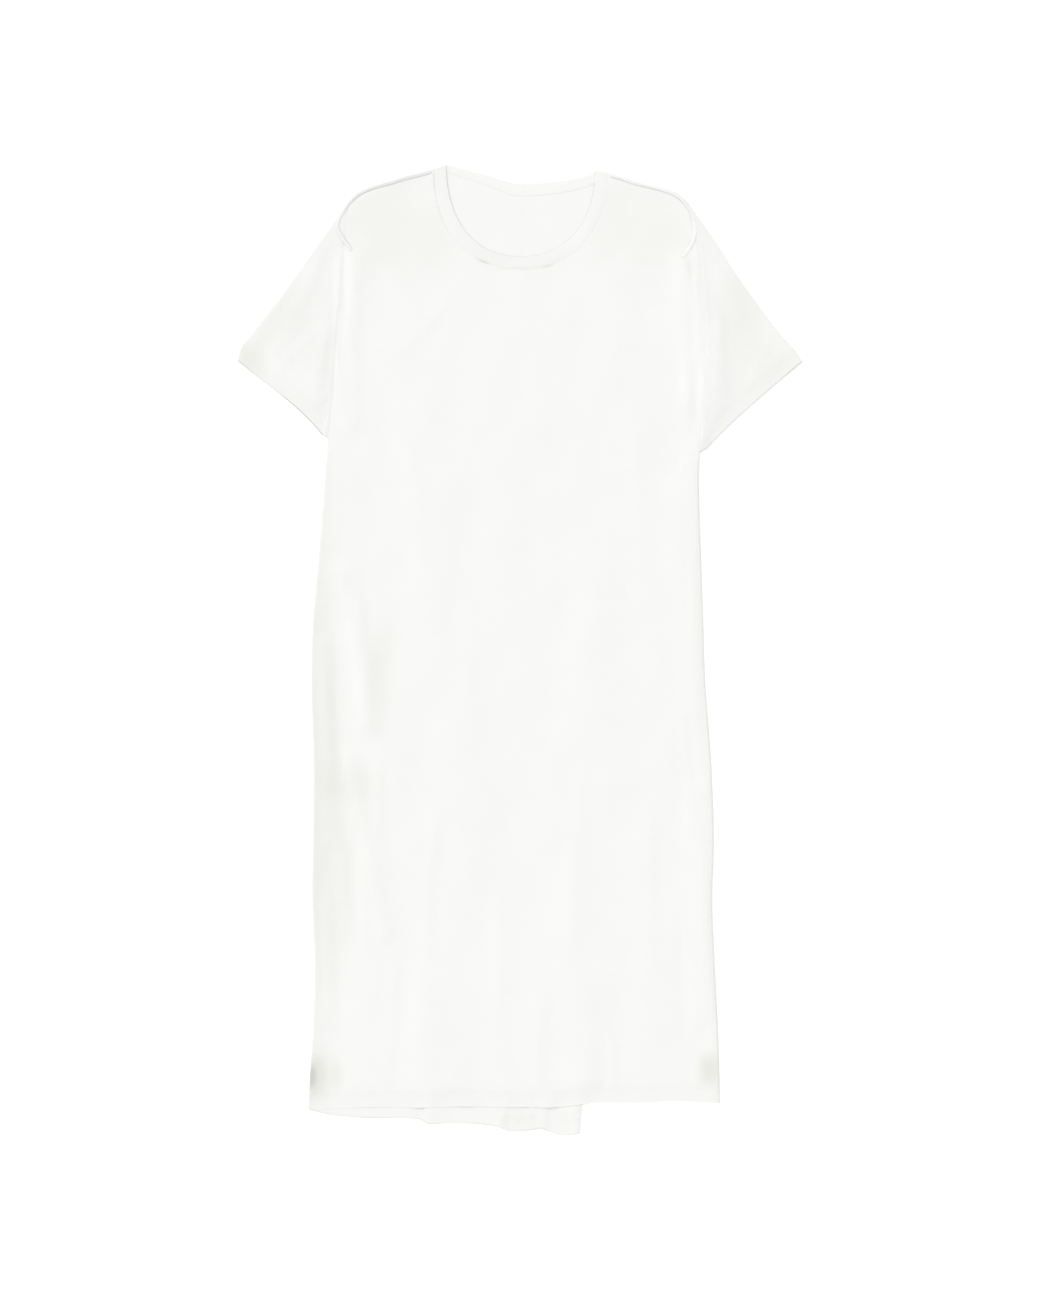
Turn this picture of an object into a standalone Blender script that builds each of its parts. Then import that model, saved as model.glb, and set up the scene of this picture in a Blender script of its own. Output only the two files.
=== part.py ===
"""A short-sleeved T-shirt dress in thin white jersey, lying flat and face up on a table.

Each piece is a wall of cloth, as it was cut: a front, two back panels with a seam down the centre
back, two tubular sleeves and a neckband that runs all round. X runs across the dress, Y from the
hem to the neck and Z up from the table, in metres. The origin is under the middle of the dress.
"""

import math
from collections import namedtuple

import bmesh
import bpy
import numpy as np

# Thickness of the cloth, and how the layers lie on each other
CLOTH = 0.0010
BAND = 0.0016
SEAM_GAP = 0.0003
FLAT_TOP = 2 * CLOTH + SEAM_GAP
EDGE_TOP = 0.0036
BAND_TOP = 0.0032
EDGE_ROUND = 0.0030
PUFF_WIDTH = 0.006
PUFF_FADE = 0.016

# Length from the shoulder's high point to the lowest point of the back hem
LENGTH = 1.233

# Width either side of the middle, down the dress: the armholes as far as the armpits, then the sides
Section = namedtuple("Section", "down left right")
SECTIONS = (
    Section(0.047, 0.218, 0.212),
    Section(0.107, 0.224, 0.226),
    Section(0.170, 0.228, 0.233),
    Section(0.234, 0.234, 0.236),
    Section(0.298, 0.238, 0.235),
    Section(0.350, 0.244, 0.230),
    Section(0.425, 0.250, 0.229),
    Section(0.502, 0.256, 0.230),
    Section(0.578, 0.263, 0.233),
    Section(0.655, 0.266, 0.238),
    Section(0.757, 0.264, 0.244),
    Section(0.859, 0.263, 0.246),
    Section(0.935, 0.265, 0.245),
    Section(1.012, 0.261, 0.247),
    Section(1.114, 0.265, 0.252),
    Section(1.196, 0.270, 0.254),
)
ARMHOLE_TOP = SECTIONS[0].down
HEM_CORNER = SECTIONS[-1].down
ARMPIT_DOWN = {"left": 0.350, "right": 0.369}
ARMPIT_ROWS = (0.342, 0.361, 0.369, 0.384, 0.400)

# The fold along each shoulder, from the neckband (share 0) to the sleeve (share 1)
Shoulder = namedtuple("Shoulder", "share left right")
SHOULDERS = (
    Shoulder(0.00, 0.005, 0.010),
    Shoulder(0.25, 0.012, 0.018),
    Shoulder(0.50, 0.020, 0.0255),
    Shoulder(0.75, 0.029, 0.0307),
    Shoulder(0.90, 0.0365, 0.0370),
    Shoulder(1.00, 0.047, 0.047),
)
SHOULDER_ROUND = 0.0018
SEAM_FORWARD = 0.0050

# Clear elastic tape along each shoulder seam, from the neckband to the sleeve head, where it curls
TAPE = 0.0010
TAPE_WIDTH = 0.0034
TAPE_LIFT = 0.0007
Mark = namedtuple("Mark", "across down")
TAPES = {
    "left": (
        Mark(-0.1124, 0.0108),
        Mark(-0.1314, 0.0156),
        Mark(-0.1467, 0.0191),
        Mark(-0.1619, 0.0241),
        Mark(-0.1772, 0.0283),
        Mark(-0.1924, 0.0330),
        Mark(-0.2076, 0.0415),
        Mark(-0.2165, 0.0508),
        Mark(-0.2242, 0.0616),
        Mark(-0.2292, 0.0705),
        Mark(-0.2311, 0.0787),
        Mark(-0.2292, 0.0864),
        Mark(-0.2242, 0.0946),
        Mark(-0.2184, 0.1022),
        Mark(-0.2140, 0.1086),
    ),
    "right": (
        Mark(0.1149, 0.0155),
        Mark(0.1270, 0.0183),
        Mark(0.1391, 0.0229),
        Mark(0.1530, 0.0264),
        Mark(0.1704, 0.0307),
        Mark(0.1826, 0.0342),
        Mark(0.1930, 0.0380),
        Mark(0.2019, 0.0434),
        Mark(0.2096, 0.0514),
        Mark(0.2159, 0.0610),
        Mark(0.2195, 0.0718),
        Mark(0.2211, 0.0820),
        Mark(0.2206, 0.0908),
        Mark(0.2182, 0.0991),
        Mark(0.2140, 0.1063),
        Mark(0.2097, 0.1126),
        Mark(0.2052, 0.1176),
    ),
}

# Neck: the seam where the band is sewn on, and the band's free edge
NECK_CENTRE = 0.001
SEAM_HALF = 0.1105
EDGE_HALF = 0.0945
FRONT_SEAM_DOWN = 0.133
FRONT_EDGE_DOWN = 0.117
BACK_SEAM_DOWN = 0.038
BACK_EDGE_DOWN = 0.022
FRONT_ROUNDNESS = (2.2, 2.2)
BACK_ROUNDNESS = (1.05, 1.7)
BAND_TOP_DOWN = (0.000, 0.007)
BAND_ROUND = 0.0020

# Centre back seam, which runs a little askew as the dress lies
CENTRE_BACK_TOP = 0.003
CENTRE_BACK_HEM = -0.013

# Sleeves: the cuff's two corners, how far the upper fold bows outwards and the cuff inwards, and
# how much more the cuff bows towards the underarm
Sleeve = namedtuple("Sleeve", "side sign tip tip_down inner inner_down bow cuff_bow cuff_lean")
SLEEVES = (
    Sleeve("left", -1, 0.3585, 0.248, 0.256, 0.338, 0.0014, 0.0036, 0.0),
    Sleeve("right", 1, 0.3585, 0.248, 0.238, 0.359, -0.0041, 0.0053, 0.7),
)

# Front hem, across from the middle
Hem = namedtuple("Hem", "across down")
FRONT_HEM = (
    Hem(-0.270, 1.200),
    Hem(-0.230, 1.198),
    Hem(-0.135, 1.197),
    Hem(-0.026, 1.197),
    Hem(0.060, 1.196),
    Hem(0.085, 1.192),
    Hem(0.165, 1.191),
    Hem(0.216, 1.190),
    Hem(0.254, 1.192),
)

# Columns of each back panel at the hem, which drops between the two folds of the centre pleat
BACK_HEM = {
    "left": (
        Hem(-0.270, 1.200),
        Hem(-0.240, 1.205),
        Hem(-0.200, 1.208),
        Hem(-0.160, 1.209),
        Hem(-0.135, 1.210),
        Hem(-0.120, 1.217),
        Hem(-0.118, 1.218),
        Hem(-0.108, 1.218),
        Hem(-0.096, 1.217),
        Hem(-0.080, 1.217),
        Hem(-0.056, 1.218),
        Hem(-0.032, 1.221),
        Hem(-0.013, 1.228),
    ),
    "right": (
        Hem(0.254, 1.192),
        Hem(0.216, 1.189),
        Hem(0.165, 1.189),
        Hem(0.120, 1.190),
        Hem(0.081, 1.191),
        Hem(0.079, 1.230),
        Hem(0.077, 1.231),
        Hem(0.066, 1.232),
        Hem(0.052, 1.233),
        Hem(0.040, 1.231),
        Hem(0.026, 1.224),
        Hem(0.008, 1.227),
        Hem(-0.013, 1.228),
    ),
}

# Folds of the back's centre pleat: where each lies at the hem, its reach to the left and the right
Pleat = namedtuple("Pleat", "across reach_left reach_right height")
PLEATS = (
    Pleat(-0.118, 0.0005, 0.020, 0.0022),
    Pleat(0.030, 0.009, 0.009, 0.0012),
    Pleat(0.079, 0.018, 0.0005, 0.0022),
)
PLEAT_START_DOWN = 0.95
PLEAT_FULL_DOWN = 1.15
OVER_PLEAT_REACH = 0.036
OVER_PLEAT_EXTRA = 0.0010

# Soft folds of the front and the sleeves, each along a line on the cloth
Fold = namedtuple("Fold", "across down to_across to_down half_width height")
FOLDS = (
    Fold(-0.226, 0.521, -0.189, 0.706, 0.015, 0.0060),
    Fold(-0.215, 0.757, -0.174, 0.973, 0.014, 0.0042),
    Fold(-0.246, 0.610, -0.240, 0.860, 0.010, 0.0026),
    Fold(-0.208, 0.118, -0.216, 0.330, 0.012, 0.0038),
    Fold(0.207, 0.120, 0.214, 0.300, 0.012, 0.0040),
    Fold(0.200, 0.425, 0.216, 0.690, 0.014, 0.0024),
    Fold(0.222, 0.800, 0.228, 1.080, 0.014, 0.0022),
    Fold(-0.110, 0.420, -0.080, 0.900, 0.034, 0.0014),
    Fold(0.105, 0.520, 0.080, 1.020, 0.036, 0.0014),
    Fold(-0.262, 0.150, -0.318, 0.256, 0.014, 0.0036),
    Fold(0.258, 0.150, 0.312, 0.262, 0.014, 0.0036),
    Fold(-0.262, 0.318, -0.246, 0.215, 0.010, 0.0022),
    Fold(0.252, 0.330, 0.248, 0.215, 0.010, 0.0026),
)

# How finely each piece is divided
FRONT_NECK_STEPS = 18
BACK_NECK_STEPS = 14
LONGEST_STEP = 0.055
SLEEVE_ROWS = 10
ROUND_STEPS = 6

WHITE_JERSEY = ("White_jersey", (0.93, 0.93, 0.915, 1.0), 0.85)
WHITE_RIB = ("White_rib", (0.94, 0.94, 0.93, 1.0), 0.80)
CLEAR_TAPE = ("Clear_tape", (0.62, 0.63, 0.63, 1.0), 0.25)


def y_at(down):
    """Y of a place that lies this far below the shoulder's high point."""
    return LENGTH / 2 - down


def between(start, end, share):
    return start + (end - start) * share


def eased(share):
    """0 to 1 with a soft start and end."""
    share = min(max(share, 0.0), 1.0)
    return share * share * (3 - 2 * share)


def read_table(table, place, value, at):
    """A column of a table at a place between its rows."""
    return float(np.interp(at, [getattr(row, place) for row in table], [getattr(row, value) for row in table]))


def side_x(side, down):
    """X of the armhole seam or the side of the dress, on its left or right."""
    sign = -1 if side == "left" else 1
    return sign * read_table(SECTIONS, "down", side, down)


def neck_point(side):
    """X of a shoulder's end at the neckband."""
    return NECK_CENTRE + (-1 if side == "left" else 1) * (SEAM_HALF + SEAM_GAP / 2)


def shoulder_x(side, share):
    """X along a shoulder, from the neckband (0) to the sleeve (1)."""
    sign = -1 if side == "left" else 1
    return between(neck_point(side), side_x(side, ARMHOLE_TOP) - sign * SEAM_GAP / 2, share)


def shoulder_down(side, x):
    """How far down the shoulder's fold is, at a place between the neckband and the sleeve."""
    share = (x - shoulder_x(side, 0)) / (shoulder_x(side, 1) - shoulder_x(side, 0))
    return read_table(SHOULDERS, "share", side, min(max(share, 0.0), 1.0))


def neck_curve(half, lowest, roundness, steps, tops=(SHOULDERS[0].left, SHOULDERS[0].right)):
    """Points of a neck curve from left to right, as x and how far down, with both ends."""
    points = []
    for i in range(steps + 1):
        across = -math.cos(math.pi * i / steps)
        start = between(*tops, (across + 1) / 2)
        power = roundness[0] if across < 0 else roundness[1]
        depth = max(1 - abs(across) ** power, 0.0) ** (1 / power)
        points.append((NECK_CENTRE + half * across, start + (lowest - start) * depth))
    return points


def row_downs(top, longest):
    """How far down the rows of a panel are at its sides, from the hem to its shoulder corner."""
    marks = sorted({top} | {s.down for s in SECTIONS if s.down > top + 0.01} | set(ARMPIT_ROWS), reverse=True)
    downs = [marks[0]]
    for below, above in zip(marks, marks[1:]):
        steps = math.ceil((below - above) / longest)
        downs += [between(below, above, (k + 1) / steps) for k in range(steps)]
    return downs


def centre_back_x(down):
    share = (down - BACK_SEAM_DOWN) / (BACK_HEM["left"][-1].down - BACK_SEAM_DOWN)
    return between(CENTRE_BACK_TOP, CENTRE_BACK_HEM, share)


def pleat_height(x, least_reach=0.0):
    """Height of the pleat's folded layers at x, taken at the hem."""
    total = 0.0
    for pleat in PLEATS:
        reach = pleat.reach_left if x < pleat.across else pleat.reach_right
        total = max(total, pleat.height * math.exp(-(((x - pleat.across) / max(reach, least_reach)) ** 2)))
    return total


def pleat_share(down):
    """How much of the pleat is left at this height: it opens out towards the hem."""
    return eased((down - PLEAT_START_DOWN) / (PLEAT_FULL_DOWN - PLEAT_START_DOWN))


def distance_to_line(x, y, from_x, from_y, to_x, to_y):
    run_x, run_y = to_x - from_x, to_y - from_y
    share = ((x - from_x) * run_x + (y - from_y) * run_y) / (run_x**2 + run_y**2)
    share = min(max(share, 0.0), 1.0)
    return math.hypot(x - from_x - share * run_x, y - from_y - share * run_y)


def fold_height(x, down):
    """Rise of the upper layer where a soft fold passes."""
    rise = 0.0
    for fold in FOLDS:
        away = distance_to_line(x, down, fold.across, fold.down, fold.to_across, fold.to_down)
        rise += fold.height * math.exp(-((away / fold.half_width) ** 2))
    return rise


def puff(away):
    """Share of the extra height that unpressed cloth has beside a folded edge."""
    return math.exp(-((max(away - PUFF_WIDTH, 0.0) / PUFF_FADE) ** 2))


def front_top(x, down):
    """Height of the front's outer face."""
    away = [down - shoulder_down("left" if x < 0 else "right", x)] if down < ARMPIT_DOWN["left"] else []
    for side, armpit in ARMPIT_DOWN.items():
        lower = max(down, armpit)
        away.append(math.hypot(x - side_x(side, lower), lower - down))
    over_pleat = pleat_height(x, OVER_PLEAT_REACH) * pleat_share(down)
    over_pleat *= 1 + OVER_PLEAT_EXTRA / PLEATS[0].height
    return FLAT_TOP + (EDGE_TOP - FLAT_TOP) * puff(min(away)) + fold_height(x, down) + over_pleat


def skin(name, rows, closed=False, loop=False):
    """An open surface through rows of points. None leaves a point out. closed joins each row's ends
    into a ring, and loop joins the last row to the first."""
    mesh = bmesh.new()
    made = [[point and mesh.verts.new(point) for point in row] for row in rows]
    last = len(made) if loop else len(made) - 1
    for i in range(last):
        row, following = made[i], made[(i + 1) % len(made)]
        for j in range(len(row) if closed else len(row) - 1):
            k = (j + 1) % len(row)
            corners = (row[j], row[k], following[k], following[j])
            if all(corners):
                mesh.faces.new(corners)
    bmesh.ops.recalc_face_normals(mesh, faces=mesh.faces)
    highest = max(mesh.faces, key=lambda face: (face.calc_center_median().z, abs(face.normal.z)))
    if highest.normal.z < 0:
        bmesh.ops.reverse_faces(mesh, faces=mesh.faces)
    data = bpy.data.meshes.new(name)
    mesh.to_mesh(data)
    mesh.free()
    data.shade_smooth()
    obj = bpy.data.objects.new(name, data)
    PIECES.objects.link(obj)
    return obj


def give_wall(obj, thickness, extra=None):
    """Gives a surface its thickness, inwards from its outer face. extra adds to it, point by point."""
    wall = obj.modifiers.new("Wall", "SOLIDIFY")
    wall.offset = -1
    wall.use_even_offset = True
    wall.thickness = thickness
    if extra:
        most = thickness + max(extra.values())
        group = obj.vertex_groups.new(name="Layers")
        for index in range(len(obj.data.vertices)):
            group.add([index], (thickness + extra.get(index, 0.0)) / most, "REPLACE")
        wall.thickness = most
        wall.vertex_group = group.name


def give_material(obj, finish):
    name, colour, roughness = finish
    material = bpy.data.materials.get(name) or bpy.data.materials.new(name)
    material.use_nodes = True
    shader = material.node_tree.nodes["Principled BSDF"]
    shader.inputs["Base Color"].default_value = colour
    shader.inputs["Roughness"].default_value = roughness
    shader.inputs["Metallic"].default_value = 0.0
    obj.data.materials.append(material)


def front_edge_point(side, curve_share, height_share, down):
    """A point of the front near its side: level along the armhole, and rolled down to the table
    below the armpit. The shares say how far the point is round the roll."""
    sign = -1 if side == "left" else 1
    edge = side_x(side, down)
    flat_x = edge - sign * SEAM_GAP / 2
    if height_share > 0:
        flat_x -= sign * (0.3 + 0.7 * curve_share) * EDGE_ROUND
    rolled_x = edge - sign * curve_share * EDGE_ROUND
    rolled = eased((down - ARMPIT_DOWN[side]) / 0.031)
    x = between(flat_x, rolled_x, rolled)
    z = between(front_top(flat_x, down), front_top(edge - sign * EDGE_ROUND, down) * height_share, rolled)
    return x, y_at(down), z


def make_front():
    """Front: hem to shoulder seams, with the neck cut out. Its sides roll under to the table."""
    roll = ((0.0, 0.0), (0.0, 0.45), (0.15, 0.78), (0.5, 0.96), (1.0, 1.0))
    neck = neck_curve(SEAM_HALF + SEAM_GAP, FRONT_SEAM_DOWN + SEAM_GAP, FRONT_ROUNDNESS, FRONT_NECK_STEPS)
    shoulders = {side: [shoulder_x(side, row.share) for row in SHOULDERS[:-1]] for side in ARMPIT_DOWN}
    tops = [(x, shoulder_down("left", x) + SEAM_FORWARD + SEAM_GAP) for x in shoulders["left"][::-1]]
    tops += neck[1:-1]
    tops += [(x, shoulder_down("right", x) + SEAM_FORWARD + SEAM_GAP) for x in shoulders["right"]]
    corner = ARMHOLE_TOP + SEAM_FORWARD + SEAM_GAP
    downs = row_downs(corner, LONGEST_STEP)
    rows = []
    for side_down in downs:
        level = (HEM_CORNER - side_down) / (HEM_CORNER - corner)
        edges = {
            side: [front_edge_point(side, *shares, between(hem.down, corner, level)) for shares in roll]
            for side, hem in (("left", FRONT_HEM[0]), ("right", FRONT_HEM[-1]))
        }
        row = list(edges["left"])
        for top_x, top_down in tops:
            left, right = (side_x(side, top_down) for side in ("left", "right"))
            share = (top_x - left) / (right - left)
            hem_x = between(SECTIONS[-1].left * -1, SECTIONS[-1].right, share)
            down = between(read_table(FRONT_HEM, "across", "down", hem_x), top_down, level)
            x = between(side_x("left", down), side_x("right", down), share)
            row.append((x, y_at(down), front_top(x, down)))
        row += edges["right"][::-1]
        rows.append(row)
    front = skin("front", rows)
    give_wall(front, CLOTH)
    give_material(front, WHITE_JERSEY)


def make_back(side):
    """Half of the back: from the centre seam to the side, and over the shoulder's fold to its seam.
    It lies flat on the table, and the centre pleat's layers thicken it towards the hem."""
    sign = -1 if side == "left" else 1
    neck = neck_curve(SEAM_HALF + SEAM_GAP, BACK_SEAM_DOWN + SEAM_GAP, BACK_ROUNDNESS, BACK_NECK_STEPS)
    half = BACK_NECK_STEPS // 2
    neck_half = neck[1 : half + 1] if side == "left" else neck[-2 : half - 1 : -1]
    highest = getattr(SHOULDERS[0], side) + BAND_ROUND + SEAM_GAP
    neck_half = [(x, max(down, highest)) for x, down in neck_half]
    shoulder = [shoulder_x(side, row.share) for row in SHOULDERS[::-1]]
    tops = [(x, shoulder_down(side, x) + SHOULDER_ROUND) for x in shoulder[:-1]]
    tops += [(shoulder[-1], highest)] + neck_half
    corner = ARMHOLE_TOP + SHOULDER_ROUND
    rows, layers = [], {}
    for side_down in row_downs(corner, LONGEST_STEP):
        level = (HEM_CORNER - side_down) / (HEM_CORNER - corner)
        row = []
        for j, ((top_x, top_down), hem) in enumerate(zip(tops, BACK_HEM[side])):
            top_edge, hem_edge = side_x(side, top_down), side_x(side, hem.down)
            top_share = (top_x - top_edge) / (centre_back_x(top_down) - top_edge)
            hem_share = (hem.across - hem_edge) / (centre_back_x(hem.down) - hem_edge)
            share = between(hem_share, top_share, level)
            share = {0: 0.0, len(tops) - 1: 1.0}.get(j, share)
            down = between(hem.down, top_down, level)
            inset = SEAM_GAP / 2 if side_down < ARMPIT_DOWN[side] - 0.001 else CLOTH + SEAM_GAP
            outer = side_x(side, down) - sign * inset
            inner = centre_back_x(down) + sign * SEAM_GAP / 2
            layers[len(rows) * len(tops) + j] = pleat_height(hem.across) * pleat_share(down)
            row.append((between(outer, inner, share), y_at(down), 0.0))
        rows.append(row)
    upper_row = rows[-1]
    for step in range(1, ROUND_STEPS + 2):
        angle = math.pi * (min(step, ROUND_STEPS) / ROUND_STEPS - 0.5)
        row = []
        for x, _, _ in upper_row[: len(shoulder)]:
            y = y_at(shoulder_down(side, x)) - SHOULDER_ROUND * (1 - math.cos(angle))
            if step > ROUND_STEPS:
                y = y_at(shoulder_down(side, x)) - SEAM_FORWARD
            row.append((x, y, SHOULDER_ROUND * (1 + math.sin(angle))))
        rows.append(row + [None] * len(neck_half))
    back = skin(f"back_{side}", rows)
    give_wall(back, CLOTH, layers)
    give_material(back, WHITE_JERSEY)


def make_tape(side):
    """Clear elastic tape, laid on the front along the shoulder seam to keep it from stretching."""
    marks = TAPES[side]
    rows = []
    for i, mark in enumerate(marks):
        before, after = marks[max(i - 1, 0)], marks[min(i + 1, len(marks) - 1)]
        run_x, run_down = after.across - before.across, after.down - before.down
        length = math.hypot(run_x, run_down)
        row = []
        for side_step in (-0.5, 0.0, 0.5):
            x = mark.across - side_step * TAPE_WIDTH * run_down / length
            down = mark.down + side_step * TAPE_WIDTH * run_x / length
            below = max(front_top(mark.across, mark.down), EDGE_TOP)
            row.append((x, y_at(down), below + TAPE_LIFT + TAPE))
        rows.append(row)
    tape = skin(f"shoulder_tape_{side}", rows)
    give_wall(tape, TAPE)
    give_material(tape, CLEAR_TAPE)


def make_sleeve(sleeve):
    """Sleeve: a tube from the armhole to the cuff, pressed flat, with a soft fold along its top."""
    side, sign = sleeve.side, sleeve.sign
    pit_down = ARMPIT_DOWN[side] - 0.003
    tip = (sign * sleeve.tip, sleeve.tip_down)
    inner = (sign * sleeve.inner, sleeve.inner_down)
    cuff_share = sleeve.cuff_bow / math.dist(tip, inner)
    cuff_in = (-sign * cuff_share * (inner[1] - tip[1]), -cuff_share * abs(inner[0] - tip[0]))

    def armhole_point(s):
        down = between(ARMHOLE_TOP, pit_down, s)
        return side_x(side, down) + sign * SEAM_GAP / 2, down

    def surface_point(s, t):
        """s runs from the top fold to the underarm, t from the armhole to the cuff."""
        first, last = armhole_point(0), armhole_point(1)
        bow = sleeve.bow * math.sin(math.pi * t)
        point = []
        for k, bowed in ((0, sign * bow), (1, -bow / 2)):
            upper = between(first[k], tip[k], t) + bowed
            under = between(last[k], inner[k], t)
            hollow = 4 * s * (1 - s) * (1 + sleeve.cuff_lean * (2 * s - 1))
            armhole, cuff = armhole_point(s)[k], between(tip[k], inner[k], s) + cuff_in[k] * hollow
            corners = between(between(first[k], tip[k], t), between(last[k], inner[k], t), s)
            point.append(between(armhole, cuff, t) + between(upper, under, s) - corners)
        return tuple(point)

    downs = [down for down in row_downs(ARMHOLE_TOP, LONGEST_STEP) if ARMHOLE_TOP < down < pit_down - 0.005]
    across = sorted((down - ARMHOLE_TOP) / (pit_down - ARMHOLE_TOP) for down in downs)
    angles = [math.pi * (k / ROUND_STEPS - 0.5) for k in range(ROUND_STEPS + 1)]
    rows = []
    for i in range(SLEEVE_ROWS + 1):
        t = i / SLEEVE_ROWS
        width = math.dist(surface_point(0, t), surface_point(1, t))
        rim = SHOULDER_ROUND / width
        clear = sign * CLOTH if i == 0 else 0.0
        row = []
        for end, turn in ((0, 1), (1, -1)):
            for angle in angles[::turn]:
                x, down = surface_point(end + turn * rim * (1 - math.cos(angle)), t)
                z = SHOULDER_ROUND * (1 + math.sin(angle))
                least = 0.3 if turn > 0 else 0.0
                row.append((x + clear * between(least, 1, math.cos(angle)), y_at(down), z))
            for s in across[::turn]:
                x, down = surface_point(s, t)
                top = FLAT_TOP + (EDGE_TOP - FLAT_TOP) * puff(min(s, 1 - s) * width) + fold_height(x, down)
                row.append((x, y_at(down), top if turn > 0 else 0.0))
        rows.append(row)
    tube = skin(f"sleeve_{side}", rows, closed=True)
    give_wall(tube, CLOTH)
    give_material(tube, WHITE_JERSEY)


def make_neckband():
    """Neckband: one doubled strip of rib, round the front and the back of the neck. It folds over
    the shoulders, so its front half lies on the dress and its back half on the table."""

    seam_tops = (SHOULDERS[0].left, SHOULDERS[0].right)

    def half(steps, seam_down, edge_down, roundness, z_of):
        """Sections from the left neck point to the right one, clear of the folds over the shoulders."""
        seams = neck_curve(SEAM_HALF - SEAM_GAP, seam_down - SEAM_GAP, roundness, steps)
        edges = neck_curve(EDGE_HALF, edge_down, roundness, steps, BAND_TOP_DOWN)
        made = []
        for i, (seam, edge) in enumerate(zip(seams, edges)):
            across = -math.cos(math.pi * i / steps)
            lowest = [between(*tops, (across + 1) / 2) + BAND_ROUND for tops in (seam_tops, BAND_TOP_DOWN)]
            points = [(x, max(down, least)) for (x, down), least in zip((seam, edge), lowest)]
            points.insert(1, tuple(between(a, b, 0.5) for a, b in zip(*points)))
            made.append([(x, y_at(down), z_of(across)) for x, down in points])
        return made

    def over_shoulder(end, turn):
        """Sections round the fold over a shoulder. turn is 1 from the front to the back."""
        made = []
        for i in range(1, ROUND_STEPS):
            angle = turn * math.pi * (0.5 - i / ROUND_STEPS)
            out, up = BAND_ROUND * math.cos(angle), BAND_ROUND * (1 + math.sin(angle))
            made.append([(x, y + out, up) for x, y, _ in end])
        return made

    def front_z(across):
        return between(BAND_TOP, 2 * BAND_ROUND, abs(across) ** 3)

    front = half(FRONT_NECK_STEPS, FRONT_SEAM_DOWN, FRONT_EDGE_DOWN, FRONT_ROUNDNESS, front_z)
    back = half(BACK_NECK_STEPS, BACK_SEAM_DOWN, BACK_EDGE_DOWN, BACK_ROUNDNESS, lambda across: 0.0)
    rows = front + over_shoulder(front[-1], 1) + back[::-1] + over_shoulder(front[0], -1)
    band = skin("neckband", rows, loop=True)
    give_wall(band, BAND)
    give_material(band, WHITE_RIB)


for leftover in list(bpy.data.objects):
    bpy.data.objects.remove(leftover)
PIECES = bpy.data.collections.new("Tshirt_dress")
bpy.context.scene.collection.children.link(PIECES)

make_front()
for panel_side in ("left", "right"):
    make_back(panel_side)
    make_tape(panel_side)
for sleeve_row in SLEEVES:
    make_sleeve(sleeve_row)
make_neckband()
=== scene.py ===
import math
from collections import namedtuple

import bpy
import numpy as np
from mathutils.bvhtree import BVHTree
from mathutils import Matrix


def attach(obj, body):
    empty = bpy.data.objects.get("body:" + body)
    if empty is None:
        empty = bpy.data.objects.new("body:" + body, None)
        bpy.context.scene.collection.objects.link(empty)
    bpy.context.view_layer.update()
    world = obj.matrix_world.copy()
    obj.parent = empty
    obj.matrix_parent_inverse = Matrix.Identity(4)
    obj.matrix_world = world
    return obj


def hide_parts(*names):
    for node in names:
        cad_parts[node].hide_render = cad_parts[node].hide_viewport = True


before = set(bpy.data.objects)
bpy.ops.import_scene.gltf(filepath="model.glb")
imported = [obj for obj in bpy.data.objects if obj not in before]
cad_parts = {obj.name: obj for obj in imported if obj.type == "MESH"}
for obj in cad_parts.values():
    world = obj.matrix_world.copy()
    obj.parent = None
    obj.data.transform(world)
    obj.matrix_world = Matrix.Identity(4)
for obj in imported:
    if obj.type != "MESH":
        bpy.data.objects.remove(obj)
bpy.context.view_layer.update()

# Back
# Two panels of fine white single jersey, sewn together down the centre back. The dress lies face
# up, so the neck shows their wrong side. They wrap over the shoulders to a seam a little forward
# of the fold. Towards the hem they hang in an inverted pleat, which spreads below the front.
CLOTH = 0.0005
LENGTH = 1.233
FLAT_TOP = 0.0023
EDGE_TOP = 0.0036
PUFF_WIDTH = 0.006
PUFF_FADE = 0.016
SHOULDER_ROUND = 0.0018
SEAM_FORWARD = 0.005
SEAM_GAP = -0.0002
SIDE_INSET = 0.0011
CUT_EDGE = math.radians(50)


def measures(columns, *rows):
    """Rows of measures, with a name for each column."""
    row = namedtuple("Row", columns)
    return [row(*values) for values in rows]


# How far the sides stand out from the centre line, from the armholes' tops to the hem's corners
SECTIONS = measures(
    "down left right",
    (0.047, 0.218, 0.212),
    (0.107, 0.224, 0.226),
    (0.170, 0.228, 0.233),
    (0.234, 0.234, 0.236),
    (0.298, 0.238, 0.235),
    (0.350, 0.244, 0.2280),
    (0.425, 0.250, 0.2275),
    (0.502, 0.256, 0.230),
    (0.578, 0.263, 0.2325),
    (0.655, 0.265, 0.2350),
    (0.757, 0.262, 0.2425),
    (0.859, 0.263, 0.246),
    (0.935, 0.264, 0.2440),
    (1.012, 0.261, 0.247),
    (1.114, 0.264, 0.2520),
    (1.196, 0.269, 0.2540),
)
ARMHOLE_TOP = SECTIONS[0].down
HEM_CORNER = SECTIONS[-1].down
PAST_HEM = 1.22
ARMPIT_DOWN = {"left": 0.35, "right": 0.369}
ARMPIT_GAP = 0.003
SIGN = {"left": -1, "right": 1}

# How far down each shoulder's fold lies, along it from the neck to the armhole
SHOULDERS = measures(
    "share left right",
    (0.00, 0.0050, 0.0100),
    (0.25, 0.0120, 0.0180),
    (0.50, 0.0200, 0.0255),
    (0.75, 0.0290, 0.0307),
    (0.90, 0.0365, 0.0370),
    (1.00, 0.0470, 0.0470),
)

BAND_ROUND = 0.0018
NECK_CENTRE = 0.001
SEAM_HALF = 0.1105
BACK_SEAM_DOWN = 0.0405
BACK_ROUNDNESS = (0.97, 1.85)
SEAM_TOP_DOWN = (SHOULDERS[0].left, SHOULDERS[0].right)

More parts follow.
